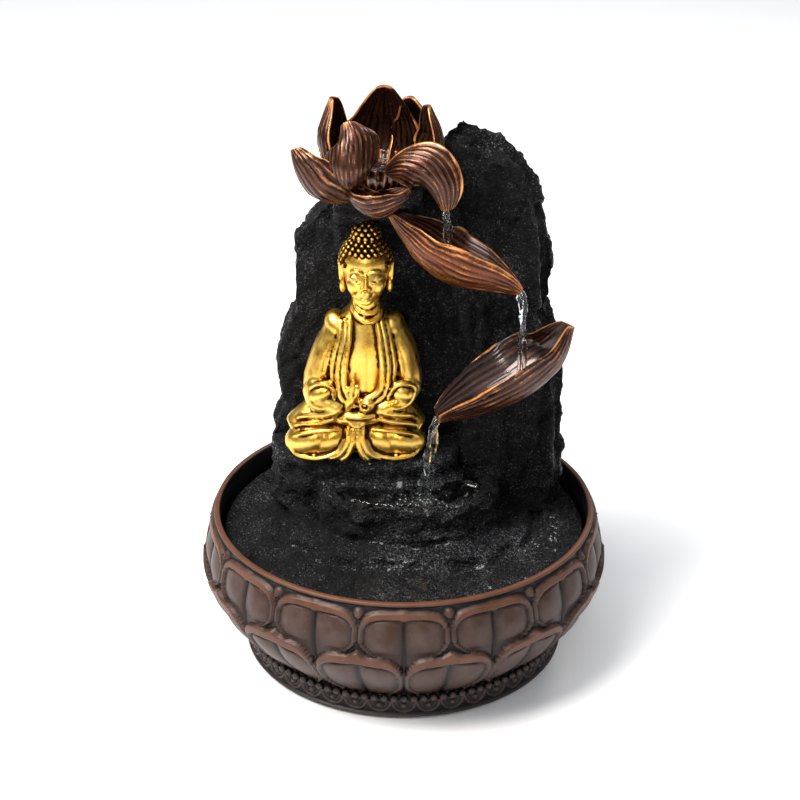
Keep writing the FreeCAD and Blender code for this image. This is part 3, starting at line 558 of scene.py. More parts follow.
def petal_relief(angle, z):
    """Relief of the bowl's wall: a lower row of petals laid half a petal round over an upper row, with a
    bead and a small hanging triangle between the shoulders of the upper petals."""
    turns = angle * PETALS_ROUND / (2.0 * np.pi)
    u_high = 2.0 * (turns - np.round(turns))
    u_low = 2.0 * (turns + 0.5 - np.round(turns + 0.5))
    v_high = (z - UPPER_ROW[0]) / (UPPER_ROW[1] - UPPER_ROW[0])
    v_low = (z - LOWER_ROW[0]) / (LOWER_ROW[1] - LOWER_ROW[0])
    high = petal_row(u_high, v_high, 0.3)
    low = petal_row(u_low, v_low, 1.0)
    height = np.where(high[0] > 0, high[1], 0.0) - 0.9
    wear = np.where(high[0] > 0, high[2], 0.08)
    height = np.where(low[0] > 0, low[1] - 0.1, height)
    wear = np.where(low[0] > 0, low[2], wear)
    across = (1.0 - np.abs(u_high)) * PETAL_HALF_PITCH
    bead = np.sqrt(np.clip(1.0 - (across ** 2 + (z - BEAD_Z) ** 2) / BEAD_R ** 2, 0.0, 1.0))
    gap = step_up(-2.2, -0.6, -across - 0.30 * (69.0 - z)) * step_up(59.0, 61.5, z) * (z < 69.0)
    height = height + 2.1 * bead + 0.8 * gap * (high[0] <= 0)
    wear = np.maximum(wear, 0.75 * bead)
    ends = step_up(12.0, 15.0, z) * (1.0 - step_up(RIM_Z - 2.6, RIM_Z - 1.4, z))
    rim = step_up(RIM_Z - 2.2, RIM_Z - 0.8, z)
    return height * ends, np.maximum(wear * ends, rim * 0.95)


def basin():
    """Bowl as one closed skin turned round the Z axis: underside, foot, carved wall, rim and lining."""
    around = BOWL_STEPS
    under = [(2.0, UNDERSIDE_Z), (30.0, UNDERSIDE_Z), (61.6, UNDERSIDE_Z), (62.0, 4.1), (62.0, FOOT_Z + 0.3),
             (62.4, FOOT_Z), (79.0, FOOT_Z),
             (79.4, FOOT_Z + 0.4), (79.4, 9.0), (78.0, 11.4)]
    wall_z = np.linspace(12.0, RIM_Z - 0.9, 112)
    wall = np.stack([np.interp(wall_z, OUTSIDE[:, 1], OUTSIDE[:, 0]), wall_z], axis=1)
    lip = [(94.6, RIM_Z - 0.25), (94.0, RIM_Z), (92.6, RIM_Z), (92.0, RIM_Z - 0.3), (91.8, RIM_Z - 1.2)]
    profile = np.vstack([under, wall, lip, spline(INSIDE, 26)])
    angle = np.linspace(0.0, 2.0 * np.pi, around, endpoint=False)
    r = np.repeat(profile[:, :1], around, axis=1)
    z = np.repeat(profile[:, 1:], around, axis=1)
    a = np.repeat(angle[None], len(profile), axis=0)
    carved = np.zeros(len(profile), bool)
    carved[len(under):len(under) + len(wall) + 3] = True
    height, wear = petal_relief(a, np.where(carved[:, None], z, 30.0))
    on_wall = np.zeros_like(carved)
    on_wall[len(under):len(under) + len(wall)] = True
    r = r + height * on_wall[:, None]
    x, y = r * np.sin(a), -r * np.cos(a)
    notch = (np.abs(x) < NOTCH_HALF) & (y > NOTCH_Y)
    z = np.where(notch, np.minimum(z, NOTCH_Z), z)
    points, faces = closed_tube(np.stack([x, y, z], axis=-1))
    relief = np.append((wear * carved[:, None]).ravel(), (0.0, 0.0))
    shell = piece("basin", points, faces, bowl_bronze(), "bowl", ("basin_bowl",),
                  {"relief": relief})
    shell.data.materials.append(inner_black())
    # faces inside this outline are the black lining
    middle = np.array([sum(points[i][0] ** 2 + points[i][1] ** 2 for i in f) / len(f) for f in faces])
    height_of = np.array([sum(points[i][2] for i in f) / len(f) for f in faces])
    limit = np.interp(height_of, [4.0, 8.0, 19.0, 28.0, 38.0, 47.0, 57.0, 66.0, RIM_Z],
                      [60.0, 72.0, 81.0, 88.5, 94.4, 96.4, 95.6, 93.2, 92.2])
    lining = (np.sqrt(middle) < limit) & (height_of > 6.0)
    shell.data.polygons.foreach_set("material_index", lining.astype(np.int32))


def seat_ribs():
    """Six ribs inside the bowl that the rock insert stands on."""
    parts = []
    for k in range(6):
        a = math.radians(30.0 + 60.0 * k)
        z = np.linspace(26.0, 57.9, 9)
        outer = np.interp(z, [19.0, 28.0, 38.0, 47.0, 57.0], [79.3, 86.8, 92.8, 94.9, 94.3])
        loop = []
        for side, back in ((-2.0, 0), (2.0, 0), (2.0, 1), (-2.0, 1)):
            radius = outer if back else np.full_like(z, 85.2)
            radius = np.minimum(radius, outer)
            x = radius * math.cos(a) - side * math.sin(a)
            y = radius * math.sin(a) + side * math.cos(a)
            loop.append(np.stack([x, y, z], axis=-1))
        parts.append(closed_tube(np.stack(loop, axis=1)))
    points, faces = gather(parts)
    piece("seat_ribs", points, faces, inner_black(), "bowl")


def foot_band():
    """Ring round the foot, carved with hanging arches, each with a pearl in it."""
    around, up = SCALLOPS_ROUND * 24, 26
    z = np.linspace(FOOT_Z + 0.3, BAND_TOP_Z, up)
    angle = np.linspace(0.0, 2.0 * np.pi, around, endpoint=False)
    a, zz = np.meshgrid(angle, z, indexing="ij")
    turns = a * SCALLOPS_ROUND / (2.0 * np.pi)
    across = (turns - np.round(turns)) * 2.0 * np.pi * SCALLOP_R / SCALLOPS_ROUND
    reach = np.hypot(across, zz - 10.0)
    arch = np.exp(-((reach - 5.6) / 0.75) ** 2) + 0.7 * np.exp(-((reach - 3.7) / 0.5) ** 2)
    pearl = np.sqrt(np.clip(1.0 - (across ** 2 + (zz - 8.0) ** 2) / 1.5 ** 2, 0.0, 1.0))
    plinth = 1.0 - step_up(2.0, 3.4, zz)
    height = np.maximum(np.maximum(arch, 1.3 * pearl), plinth)
    r = BAND_R + 1.25 * np.minimum(height, 1.3)
    inner = np.full((around, 2), BAND_INNER_R)
    r = np.concatenate([r, inner], axis=1)
    zz = np.concatenate([zz, np.tile([BAND_TOP_Z, FOOT_Z + 0.3], (around, 1))], axis=1)
    a = np.repeat(angle[:, None], r.shape[1], axis=1)
    wear = np.concatenate([height, np.zeros((around, 2))], axis=1)
    points = np.stack([r * np.sin(a), -r * np.cos(a), zz], axis=-1)
    faces = grid_faces(around, r.shape[1], True, True)
    finish = foot_bronze()
    piece("foot_band", points.reshape(-1, 3), faces, finish, "bowl", (), {"relief": wear.ravel()})
    pearls = []
    for k in range(BEADS_ROUND):
        t = 2.0 * math.pi * k / BEADS_ROUND
        centre = (BEAD_RING_R * math.sin(t), -BEAD_RING_R * math.cos(t), BEAD_RING_Z)
        pearls.append(ball(centre, (2.1, 2.1, 2.0), rows=6, columns=10))
    points, faces = gather(pearls)
    wear = step_up(80.0, 83.2, np.hypot(points[:, 0], points[:, 1])) * 0.95
    piece("foot_pearls", points, faces, finish, "bowl", (), {"relief": wear})


# Shapes that the figure and the small pieces are put together from ---------------------------------

def ball(centre, radii, rows=20, columns=28, tilt=(0.0, 0.0, 0.0)):
    """Ellipsoid: sines and cosines of the two angles times its radii, turned by tilt degrees."""
    lift = np.linspace(-0.5 * np.pi, 0.5 * np.pi, rows + 1)[1:-1]
    turn = np.linspace(0.0, 2.0 * np.pi, columns, endpoint=False)
    a, b = np.meshgrid(lift, turn, indexing="ij")
    rings = np.stack([np.cos(a) * np.cos(b) * radii[0], np.cos(a) * np.sin(b) * radii[1],
                      np.sin(a) * radii[2]], axis=-1)
    points, faces = closed_tube(rings)
    points[-2:, 2] = (-radii[2], radii[2])
    rx, ry, rz = (math.radians(t) for t in tilt)
    turn_x = np.array([[1, 0, 0], [0, math.cos(rx), -math.sin(rx)], [0, math.sin(rx), math.cos(rx)]])
    turn_y = np.array([[math.cos(ry), 0, math.sin(ry)], [0, 1, 0], [-math.sin(ry), 0, math.cos(ry)]])
    turn_z = np.array([[math.cos(rz), -math.sin(rz), 0], [math.sin(rz), math.cos(rz), 0], [0, 0, 1]])
    return points @ (turn_z @ turn_y @ turn_x).T + np.array(centre, float), faces


def limb(path, radii, samples=24, sides=18):
    """Round bar with a changing radius along a smooth path, closed by shrinking its ends."""
    line = spline(path, samples)
    t = np.linspace(0.0, 1.0, samples)
    radius = np.interp(t, np.linspace(0.0, 1.0, len(radii)), radii)
    radius = radius * np.clip(1.0 - (np.abs(2.0 * t - 1.0)) ** 24, 0.12, 1.0) ** 0.5
    along = unit(np.gradient(line, axis=0))
    guide = np.array([0.0, 1.0, 0.0]) if abs(along[len(along) // 2][1]) < 0.8 else np.array([1.0, 0.0, 0.0])
    side = unit(np.cross(along, guide))
    rise = np.cross(side, along)
    a = np.linspace(0.0, 2.0 * np.pi, sides, endpoint=False)
    rings = (line[:, None] + radius[:, None, None] * (np.cos(a)[None, :, None] * side[:, None]
             + np.sin(a)[None, :, None] * rise[:, None]))
    return closed_tube(rings)


def stacked(sections, samples=40, sides=40, power=2.3):
    """Trunk built of flattened round sections (x, y, z, half width, half depth) joined by smooth curves."""
    s = spline(sections, samples)
    a = np.linspace(0.0, 2.0 * np.pi, sides, endpoint=False)
    c, d = np.cos(a), np.sin(a)
    cx = np.sign(c) * np.abs(c) ** (2.0 / power)
    dy = np.sign(d) * np.abs(d) ** (2.0 / power)
    rings = np.stack([s[:, :1] + s[:, 3:4] * cx, s[:, 1:2] + s[:, 4:5] * dy,
                      np.repeat(s[:, 2:3], sides, axis=1)], axis=-1)
    return closed_tube(rings)


def mirrored(parts, x):
    """The parts and their mirror images about the plane at x."""
    flipped = []
    for points, faces in parts:
        other = points.copy()
        other[:, 0] = 2.0 * x - other[:, 0]
        flipped.append((other, [list(f)[::-1] for f in faces]))
    return list(parts) + flipped


# Seated figure --------------------------------------------------------------------------------------

# Height above the ledge, then how wide the body is kept there and how far it is shifted to the right
BUILD = np.array([(0, 0.94, -1.5), (18, 0.94, -1.0), (36, 0.87, 2.5), (60, 0.73, 3.7), (66, 0.76, 3.2),
                  (71, 0.85, 2.4), (76, 0.95, 1.3), (86, 1.0, 0.4)])
HEAD = np.array([FIGURE_X + 4.5, FIGURE_Y - 2.6, LEDGE_Z + 96.5])
HEAD_SCALE = 1.09
LAP_HEIGHT = 20.0
ABOVE_LAP_STRETCH = 0.10
CROWN = HEAD + np.array([0.0, 2.0, 4.4])
CROWN_RADII, CROWN_CURLS, CROWN_TOPS = (10.9, 11.6, 11.2), (11.0, 11.7, 11.3), (11.9, 12.6, 12.2)
KNOT = HEAD + np.array([0.0, 3.4, 16.0])
KNOT_RADII, KNOT_CURLS, KNOT_TOPS = (5.4, 5.4, 5.2), (5.5, 5.5, 5.3), (6.4, 6.4, 6.2)
CURL_SIZE = 1.52
BODY_SKIN, HEAD_SKIN = 0.62, 0.36  # width of the squares the body and the head are skinned with
FOLD_ROUNDS, LIMB_ROUNDS = 8, 60   # how far the neighbourhood of a fold and of a whole limb reaches


def built(points):
    """Points of the body narrowed and shifted sideways by amounts that change smoothly with height, and
    stretched a tenth taller above the lap."""
    height = points[:, 2] - LEDGE_Z
    wide = np.interp(height, BUILD[:, 0], BUILD[:, 1])
    shift = np.interp(height, BUILD[:, 0], BUILD[:, 2])
    points = points.copy()
    points[:, 0] = FIGURE_X + shift + wide * (points[:, 0] - FIGURE_X)
    points[:, 2] += ABOVE_LAP_STRETCH * np.clip(height - LAP_HEIGHT, 0.0, None)
    return points


def head_sized(points):
    """Points of the head, drawn about its middle, enlarged to its real size."""
    return HEAD + (points - HEAD) * HEAD_SCALE


def figure_body():
    """Crossed legs, robed trunk, sleeves, hands in the lap with a small bowl, and the folds of the robe."""
    x, y, z = FIGURE_X, FIGURE_Y, LEDGE_Z
    half = [
        ball((x + 21.0, y - 4.0, z + 9.5), (16.5, 10.5, 10.0), tilt=(0, 14, -8)),
        ball((x + 13.0, y - 7.5, z + 9.0), (13.0, 7.0, 8.6), tilt=(0, 22, -6)),
        limb([(x + 8, y + 2, z + 20), (x + 22, y + 1, z + 18), (x + 33, y - 1, z + 10)], [10, 10, 7.5]),
        limb([(x + 17.5, y + 3, z + 61), (x + 23.5, y + 2, z + 52), (x + 25.5, y, z + 40),
              (x + 24.5, y - 2, z + 33)],
             [8.2, 8.8, 8.6, 7.6]),
        limb([(x + 26.5, y - 1, z + 37), (x + 21, y - 8, z + 30), (x + 9, y - 12, z + 26)], [8.2, 6.6, 4.2]),
        ball((x + 21.5, y - 9.0, z + 34.5), (7.6, 5.4, 5.2), tilt=(0, 18, -10)),
        ball((x + 17.0, y + 3.0, z + 61.5), (9.5, 8.5, 7.5)),
        # the sleeve's hem round the forearm, and folds running from it to the lap
        limb([(x + 14.2, y - 12.5, z + 31.5), (x + 17.5, y - 14.0, z + 38.5), (x + 24.0, y - 13.0, z + 40.0),
              (x + 29.2, y - 9.0, z + 36.0), (x + 27.0, y - 11.5, z + 30.0), (x + 19.5, y - 14.5, z + 28.5),
              (x + 14.2, y - 12.5, z + 31.5)], [0.95, 1.15, 0.95], samples=60, sides=10),
        limb([(x + 9, y - 13.5, z + 27), (x + 17, y - 14.0, z + 25.5), (x + 27, y - 10, z + 23),
              (x + 32, y - 4, z + 19)],
             [1.3, 1.8, 1.4, 0.8], samples=40, sides=10),
        limb([(x + 10, y - 13.0, z + 23.5), (x + 18, y - 13.2, z + 21.5), (x + 28, y - 9.5, z + 18.5),
              (x + 33, y - 5, z + 15)],
             [1.2, 1.6, 1.3, 0.7], samples=40, sides=10),
        # rims of the cloth round the knee
        limb([(x + 6.5, y - 13.5, z + 17.5), (x + 15, y - 15.0, z + 17.5), (x + 27, y - 13.0, z + 15.0),
              (x + 34.5, y - 8, z + 9),
              (x + 31, y - 12.0, z + 3.0), (x + 20, y - 14.6, z + 1.8), (x + 10, y - 14.5, z + 5.0),
              (x + 5.5, y - 13.8, z + 12.5)],
             [0.9, 1.2, 1.2, 1.1, 1.2, 1.2, 1.1, 0.8], samples=80, sides=10),
        limb([(x + 4.0, y - 14.0, z + 19.5), (x + 3.8, y - 15.0, z + 12), (x + 7.5, y - 15.2, z + 5),
              (x + 14, y - 14.6, z + 1.4)],
             [1.0, 1.5, 1.6, 1.2], samples=40, sides=10),
        limb([(x + 1.4, y - 14.0, z + 19.0), (x + 1.4, y - 15.2, z + 11), (x + 4.2, y - 15.6, z + 4),
              (x + 8, y - 15.0, z + 1.0)],
             [1.0, 1.5, 1.7, 1.2], samples=40, sides=10),
        # front edges of the open robe: three bands that hang from the neck and swing across the belly
        limb([(x + 8.0, y - 3.6, z + 68), (x + 10.2, y - 8.2, z + 58), (x + 11.4, y - 10.6, z + 46),
              (x + 9.0, y - 12.4, z + 36),
              (x, y - 13.2, z + 31.5)], [1.5, 2.0, 2.0, 1.7, 1.5], samples=60, sides=12),
        limb([(x + 10.8, y - 3.2, z + 68), (x + 13.6, y - 7.4, z + 58), (x + 14.8, y - 9.6, z + 46),
              (x + 12.0, y - 12.0, z + 34),
              (x + 2, y - 13.6, z + 28.6)], [1.5, 1.9, 1.8, 1.5, 1.3], samples=60, sides=12),
        limb([(x + 13.6, y - 2.6, z + 67), (x + 17.0, y - 6.2, z + 58), (x + 18.4, y - 7.8, z + 46),
              (x + 15.5, y - 10.6, z + 34)],
             [1.3, 1.7, 1.6, 1.2], samples=50, sides=12),
        limb([(x + 22.5, y - 4.6, z + 60), (x + 27.4, y - 4.6, z + 49), (x + 29.6, y - 6.0, z + 38)],
             [0.8, 1.4, 0.9],
             samples=36, sides=10),
        limb([(x + 19.5, y - 5.4, z + 59), (x + 22.4, y - 6.4, z + 48), (x + 22.6, y - 7.8, z + 42)],
             [0.8, 1.3, 0.9],
             samples=36, sides=10),
    ]
    middle = [
        stacked([(x, y + 2, z + 2, 25, 11), (x, y + 2, z + 16, 24, 12.5), (x, y + 2, z + 30, 18.5, 12),
                 (x, y + 2, z + 44, 18.0, 11.5),
                 (x + 0.5, y + 2.6, z + 56, 20.5, 11.0), (x + 1, y + 3, z + 65, 18.5, 9.0),
                 (x + 2, y + 3, z + 71, 10, 7.4),
                 (x + 3, y + 3, z + 76, 6.2, 6.0)]),
        limb([(x + 2.5, y + 2.5, z + 66), (x + 3.6, y + 1.5, z + 77), (x + 4.3, y + 0.5, z + 90)],
             [8.4, 7.4, 7.0]),
        # a pair of rings where the inner robe meets the neck
        limb([(x - 5.5, y + 0.5, z + 72.5), (x - 3.0, y - 5.2, z + 69.2), (x + 3.2, y - 7.6, z + 67.6),
              (x + 9.4, y - 5.2, z + 69.2),
              (x + 11.8, y + 0.5, z + 72.5)], [1.3, 1.4, 1.4, 1.4, 1.3], samples=40, sides=12),
        limb([(x - 3.6, y + 0.2, z + 75.0), (x - 1.6, y - 4.6, z + 72.2), (x + 3.4, y - 6.4, z + 71.0),
              (x + 8.4, y - 4.6, z + 72.2),
              (x + 10.4, y + 0.2, z + 75.0)], [1.0, 1.0, 1.0, 1.0, 1.0], samples=40, sides=12),
        ball((x, y - 10.0, z + 13.0), (6.5, 5.5, 9.5)),
        # lap, palms and bowl
        ball((x, y - 10.5, z + 22.5), (13.5, 5.5, 3.6)),
        ball((x + 0.5, y - 13.0, z + 24.6), (9.2, 4.2, 2.0)),
        ball((x + 3.6, y - 12.5, z + 29.8), (4.6, 4.4, 4.0)),
        ball((x + 3.6, y - 15.6, z + 30.6), (2.6, 1.6, 2.2)),
        ball((x - 5.6, y - 12.0, z + 31.5), (3.3, 3.2, 5.2), tilt=(0, 8, 0)),
        limb([(x - 5.6, y - 13.2, z + 33.5), (x - 6.0, y - 13.8, z + 38.5), (x - 5.6, y - 13.4, z + 43.0)],
             [1.6, 1.5, 1.25], sides=12),
        limb([(x - 3.2, y - 13.6, z + 33.0), (x - 2.8, y - 14.4, z + 37.0), (x - 3.0, y - 14.0, z + 40.0)],
             [1.5, 1.4, 1.2], sides=12),
        limb([(x - 7.6, y - 12.6, z + 33.0), (x - 8.4, y - 13.4, z + 36.5), (x - 7.6, y - 14.2, z + 38.8)],
             [1.4, 1.3, 1.1], sides=12),
    ]
    for k in range(4):
        reach = y - 14.4 - 0.5 * k
        middle.append(limb([(x - 8.5 + k, reach + 2.0, z + 26.4 - 1.5 * k),
                            (x + 0.5, reach - 0.6, z + 24.8 - 1.5 * k),
                            (x + 9.0 - k, reach + 2.0, z + 26.4 - 1.5 * k)], [0.85, 1.0, 0.85], samples=30,
                           sides=10))
    points, faces = gather(mirrored(half, x) + middle)
    points = built(points)
    mesh = raw_mesh("figure_work", points, faces)
    points, faces, edges, normals = remeshed(mesh, BODY_SKIN, 2)
    cut = points[:, 2] < z + 0.2
    points[cut, 2] = z + 0.2
    well = np.hypot(points[:, 0] - x - 3.6, points[:, 2] - z - 31.0)
    points[:, 1] = np.where((well < 1.7) & (points[:, 1] < y - 13.5), points[:, 1] + 1.6, points[:, 1])
    drape = fractal(points * [1.0, 1.0, 0.30], 3.6, 2, 40) * 0.16
    points = points + normals * drape[:, None]
    return points, faces, edges, normals


def figure_head():
    """Head bowed a little: cranium, oval face with lowered lids, straight nose and closed lips, long ears.
    The features sit at the usual thirds and halves of a face."""
    hx, hy, hz = HEAD
    half = [
        # lowered lid, brow, and the line where the lids meet
        ball((hx + 3.9, hy - 7.5, hz + 0.2), (3.3, 2.2, 2.1)),
        limb([(hx + 1.2, hy - 10.0, hz + 3.0), (hx + 3.9, hy - 9.9, hz + 4.3), (hx + 7.0, hy - 7.3, hz + 3.2)],
             [0.5, 0.7, 0.4], samples=20, sides=10),
        limb([(hx + 1.7, hy - 10.1, hz - 0.5), (hx + 3.9, hy - 10.6, hz - 1.1), (hx + 6.2, hy - 9.0, hz - 0.6)],
             [0.3, 0.42, 0.3], samples=20, sides=8),
        # cheek and side of the nose
        ball((hx + 4.4, hy - 5.9, hz - 4.0), (3.8, 3.3, 4.4)),
        ball((hx + 1.4, hy - 10.6, hz - 3.7), (1.0, 1.1, 0.9)),
        # ear, its long lobe and its rim
        ball((hx + 10.3, hy + 3.2, hz - 0.5), (1.5, 2.9, 6.6), tilt=(8, 0, 0)),
        ball((hx + 10.4, hy + 2.4, hz - 7.6), (1.4, 1.9, 3.4), tilt=(8, 0, 0)),
        limb([(hx + 11.2, hy + 0.6, hz - 4.5), (hx + 11.6, hy + 2.2, hz + 4.6),
              (hx + 11.2, hy + 5.6, hz + 3.8)],
             [0.6, 0.75, 0.5], samples=20, sides=8),
    ]
    middle = [
        # cranium, oval of the face, jaw and chin
        ball(CROWN, CROWN_RADII),
        ball((hx, hy - 0.6, hz - 1.4), (9.2, 10.0, 11.6)),
        ball((hx, hy - 2.6, hz - 6.4), (7.5, 7.0, 6.6)),
        ball((hx, hy - 7.4, hz - 10.4), (3.3, 2.7, 2.4)),
        # straight nose, then two full level lips that just meet
        limb([(hx, hy - 9.6, hz + 2.8), (hx, hy - 11.0, hz - 0.4), (hx, hy - 12.2, hz - 3.4)],
             [0.85, 1.0, 1.25], samples=20, sides=12),
        limb([(hx - 2.6, hy - 9.1, hz - 6.5), (hx - 1.1, hy - 10.1, hz - 6.2), (hx, hy - 10.0, hz - 6.4),
              (hx + 1.1, hy - 10.1, hz - 6.2), (hx + 2.6, hy - 9.1, hz - 6.5)],
             [0.35, 0.72, 0.66, 0.72, 0.35], samples=30, sides=10),
        limb([(hx - 2.3, hy - 9.0, hz - 7.3), (hx, hy - 9.9, hz - 7.7), (hx + 2.3, hy - 9.0, hz - 7.3)],
             [0.4, 0.88, 0.4], samples=24, sides=10),
        ball(KNOT, KNOT_RADII),
    ]
    points, faces = gather(mirrored(half, hx) + middle)
    mesh = raw_mesh("head_work", head_sized(points), faces)
    return remeshed(mesh, HEAD_SKIN, 3)


def hair_curls():
    """Snail curls in rings over the crown and topknot: each a small cone wound up from a spiral ridge."""
    turn = np.linspace(0.0, 2.0 * np.pi, 12, endpoint=False)
    rise = np.linspace(0.0, 1.0, 6)
    u, v = np.meshgrid(rise, turn, indexing="ij")
    swirl = 1.0 + 0.10 * np.cos(v - 2.0 * np.pi * u * 1.5)
    profile = np.cos(u * np.pi * 0.46) ** 0.75 * swirl
    curl = np.stack([profile * np.cos(v), profile * np.sin(v), 1.15 * u - 0.25], axis=-1)
    parts = []
    for ring in range(9):
        lift = math.radians(3.0 + 10.2 * ring)
        count = max(1, int(round(25 * math.cos(lift))))
        for k in range(count):
            a = 2.0 * math.pi * (k + 0.5 * (ring % 2)) / count
            way = np.array([math.cos(lift) * math.sin(a), -math.cos(lift) * math.cos(a), math.sin(lift)])
            if way[1] < -0.55 and way[2] < 0.42:
                continue
            parts.append((CROWN + way * CROWN_CURLS, way))
    for ring in range(5):
        lift = math.radians(2.0 + 20.5 * ring)
        count = max(1, int(round(13 * math.cos(lift))))
        for k in range(count):
            a = 2.0 * math.pi * (k + 0.5 * (ring % 2)) / count
            way = np.array([math.cos(lift) * math.sin(a), -math.cos(lift) * math.cos(a), math.sin(lift)])
            parts.append((KNOT + way * KNOT_CURLS, way))
    placed = []
    for centre, way in parts:
        side = unit(np.cross(way, [0.3, 0.2, 1.0]))
        other = np.cross(way, side)
        rings = centre + CURL_SIZE * (curl[..., :1] * side + curl[..., 1:2] * other + curl[..., 2:] * way)
        placed.append(closed_tube(rings))
    points, faces = gather(placed)
    return head_sized(points), faces


def seated_figure():
    """Body, head and hair in gold, with the wash kept in their folds and between the curls, and painted shade
    in the large recesses of body and head.
    """
    gold = gold_leaf()
    for name, made in (("figure_robe", figure_body()), ("figure_head", figure_head())):
        points, faces, edges, normals = made
        fine = hollowness(points, edges, normals, FOLD_ROUNDS)
        painted_shade_depth = hollowness(points, edges, normals, LIMB_ROUNDS)
        # fine hollows carry the wash; hollows a whole limb wide add painted shade to the large recesses
        deep = (fine + 0.10 * np.clip(painted_shade_depth - 0.10, 0.0, 1.2)) * (0.5 if name == "figure_head" else 1.0)
        stands_for = ("seated_figure",) if name == "figure_robe" else ()
        piece(name, points, faces, gold, "rock_insert", stands_for, {"hollow": deep}, False)
    points, faces = hair_curls()
    drawn = HEAD + (points - HEAD) / HEAD_SCALE
    crown = np.linalg.norm((drawn - CROWN) / CROWN_TOPS, axis=1)
    knot = np.linalg.norm((drawn - KNOT) / KNOT_TOPS, axis=1)
    nearest = np.minimum(np.where(knot < 1.3, knot, 9.0), np.where(crown < 1.3, crown, 9.0))
    deep = 0.34 - 0.5 * step_up(0.96, 1.06, nearest)
    piece("figure_curls", points, faces, gold, "rock_insert", (), {"hollow": deep})


# Rock -----------------------------------------------------------------------------------------------

ROCK_SKIN, PANEL_SKIN = 1.75, 1.3  # width of the squares the rock and the rear cover are skinned with
ROCK_ROUNDS = 5                    # how far the neighbourhood of a hollow in the rock reaches
WALL_MAX_R = 88.0                  # the wall stays inside this radius, clear of the bowl
# places where water lands or runs
STREAM_ENDS = np.array([(20.0, -20.0, 212.0), (55.0, -16.0, 158.0), (11.0, -22.0, 94.0), (14.0, -34.0, 70.0),
                        (20.0, -60.0, 65.0), (52.0, -34.0, 66.0), (-52.0, 40.0, 66.0)])


def cad_copy(node):
    """A loose copy of a CAD node's mesh with its doubled points merged."""
    mesh = frame["nodes"][node].data.copy()
    mesh.materials.clear()
    work = bmesh.new()
    work.from_mesh(mesh)
    bmesh.ops.remove_doubles(work, verts=work.verts, dist=1e-6)
    work.to_mesh(mesh)
    work.free()
    return mesh


def chiselled(p, seed):
    """Split stone in millimetres: tall flat-faced cells set in and out, with cracks between them, upright
    flutes on the right, thin level beds, and fractal roughness."""
    warped = p + 2.5 * np.stack([noise(p, 16.0, seed + k) for k in (20, 21, 22)], axis=-1)
    near, next_near, label = cells(warped, (17.0, 17.0, 38.0), seed)
    facet = (label - 0.5) * 3.4
    crack = -1.5 * (1.0 - step_up(0.0, 0.09, next_near - near))
    right = step_up(22.0, 40.0, p[:, 0])
    flute = (1.0 - np.abs(noise(p * [1.0, 1.0, 0.10], 8.5, seed + 31))) * 3.4 - 2.5
    bed = np.abs(noise(p * [0.20, 0.20, 1.0] + 0.3 * warped * [0.2, 0.2, 0.0], 4.5, seed + 41)) * 0.9
    return facet + crack + right * flute + bed * (1.0 - 0.6 * right) + fractal(p, 5.0, 3, seed + 50) * 1.15


def wetness(p):
    """1 near where water lands and runs, fading over a few centimetres."""
    near = np.min(np.linalg.norm(p[:, None] - STREAM_ENDS[None], axis=2), axis=1)
    return 1.0 - step_up(8.0, 42.0, near)


def rock_wall(finish):
    """The wall's CAD shell, skinned evenly and chiselled on its outside only."""
    points, faces, edges, normals = remeshed(cad_copy("rock_wall"), ROCK_SKIN)
    n = unit(spread(normals, edges, 3))
    out = np.einsum("ij,ij->i", n, points - np.array([5.0, 42.0, 150.0]))
    lining = (points[:, 1] > 24.0) & (out < 0.0)
    cover = (np.abs(points[:, 0] - 4.0) < 44.5) & (np.abs(points[:, 2] - 142.0) < 58.0) & (points[:, 1] > 50.0)
    seat = 1.0 - step_up(244.0, 246.5, points[:, 2]) * (np.hypot(points[:, 0] + 12.0, points[:, 1]) < 16.0)
    amount = step_up(64.5, 69.0, points[:, 2]) * seat * ~lining * ~cover
    points = points + n * (chiselled(points, 3) * amount - 0.5 * amount)[:, None]
    reach = np.hypot(points[:, 0], points[:, 1])
    points[:, :2] *= np.minimum(1.0, WALL_MAX_R / np.maximum(reach, 1.0))[:, None]
    deep = hollowness(points, edges, normals, ROCK_ROUNDS)
    piece("rock_wall_stone", points, faces, finish, "rock_insert", ("rock_wall",),
          {"hollow": deep, "wet": wetness(points)}, False)


def rear_panel(finish):
    """The rear cover, its outer face worked like the stone round it, shallower towards its edges."""
    points, faces, edges, normals = remeshed(cad_copy("rear_cover"), PANEL_SKIN)
    low, high = points.min(axis=0), points.max(axis=0)
    inset = np.minimum(np.minimum(points[:, 0] - low[0], high[0] - points[:, 0]),
                       np.minimum(points[:, 2] - low[2], high[2] - points[:, 2]))
    amount = step_up(0.8, 5.0, inset) * (normals[:, 1] > 0.6) * (points[:, 1] > 59.0)
    points[:, 1] += (fractal(points, 6.0, 4, 61) * 0.8 - 0.25) * amount
    deep = hollowness(points, edges, normals, ROCK_ROUNDS)
    piece("rear_panel_stone", points, faces, finish, "rear_panel", ("rear_cover",),
          {"hollow": deep, "wet": np.zeros(len(points))}, False)


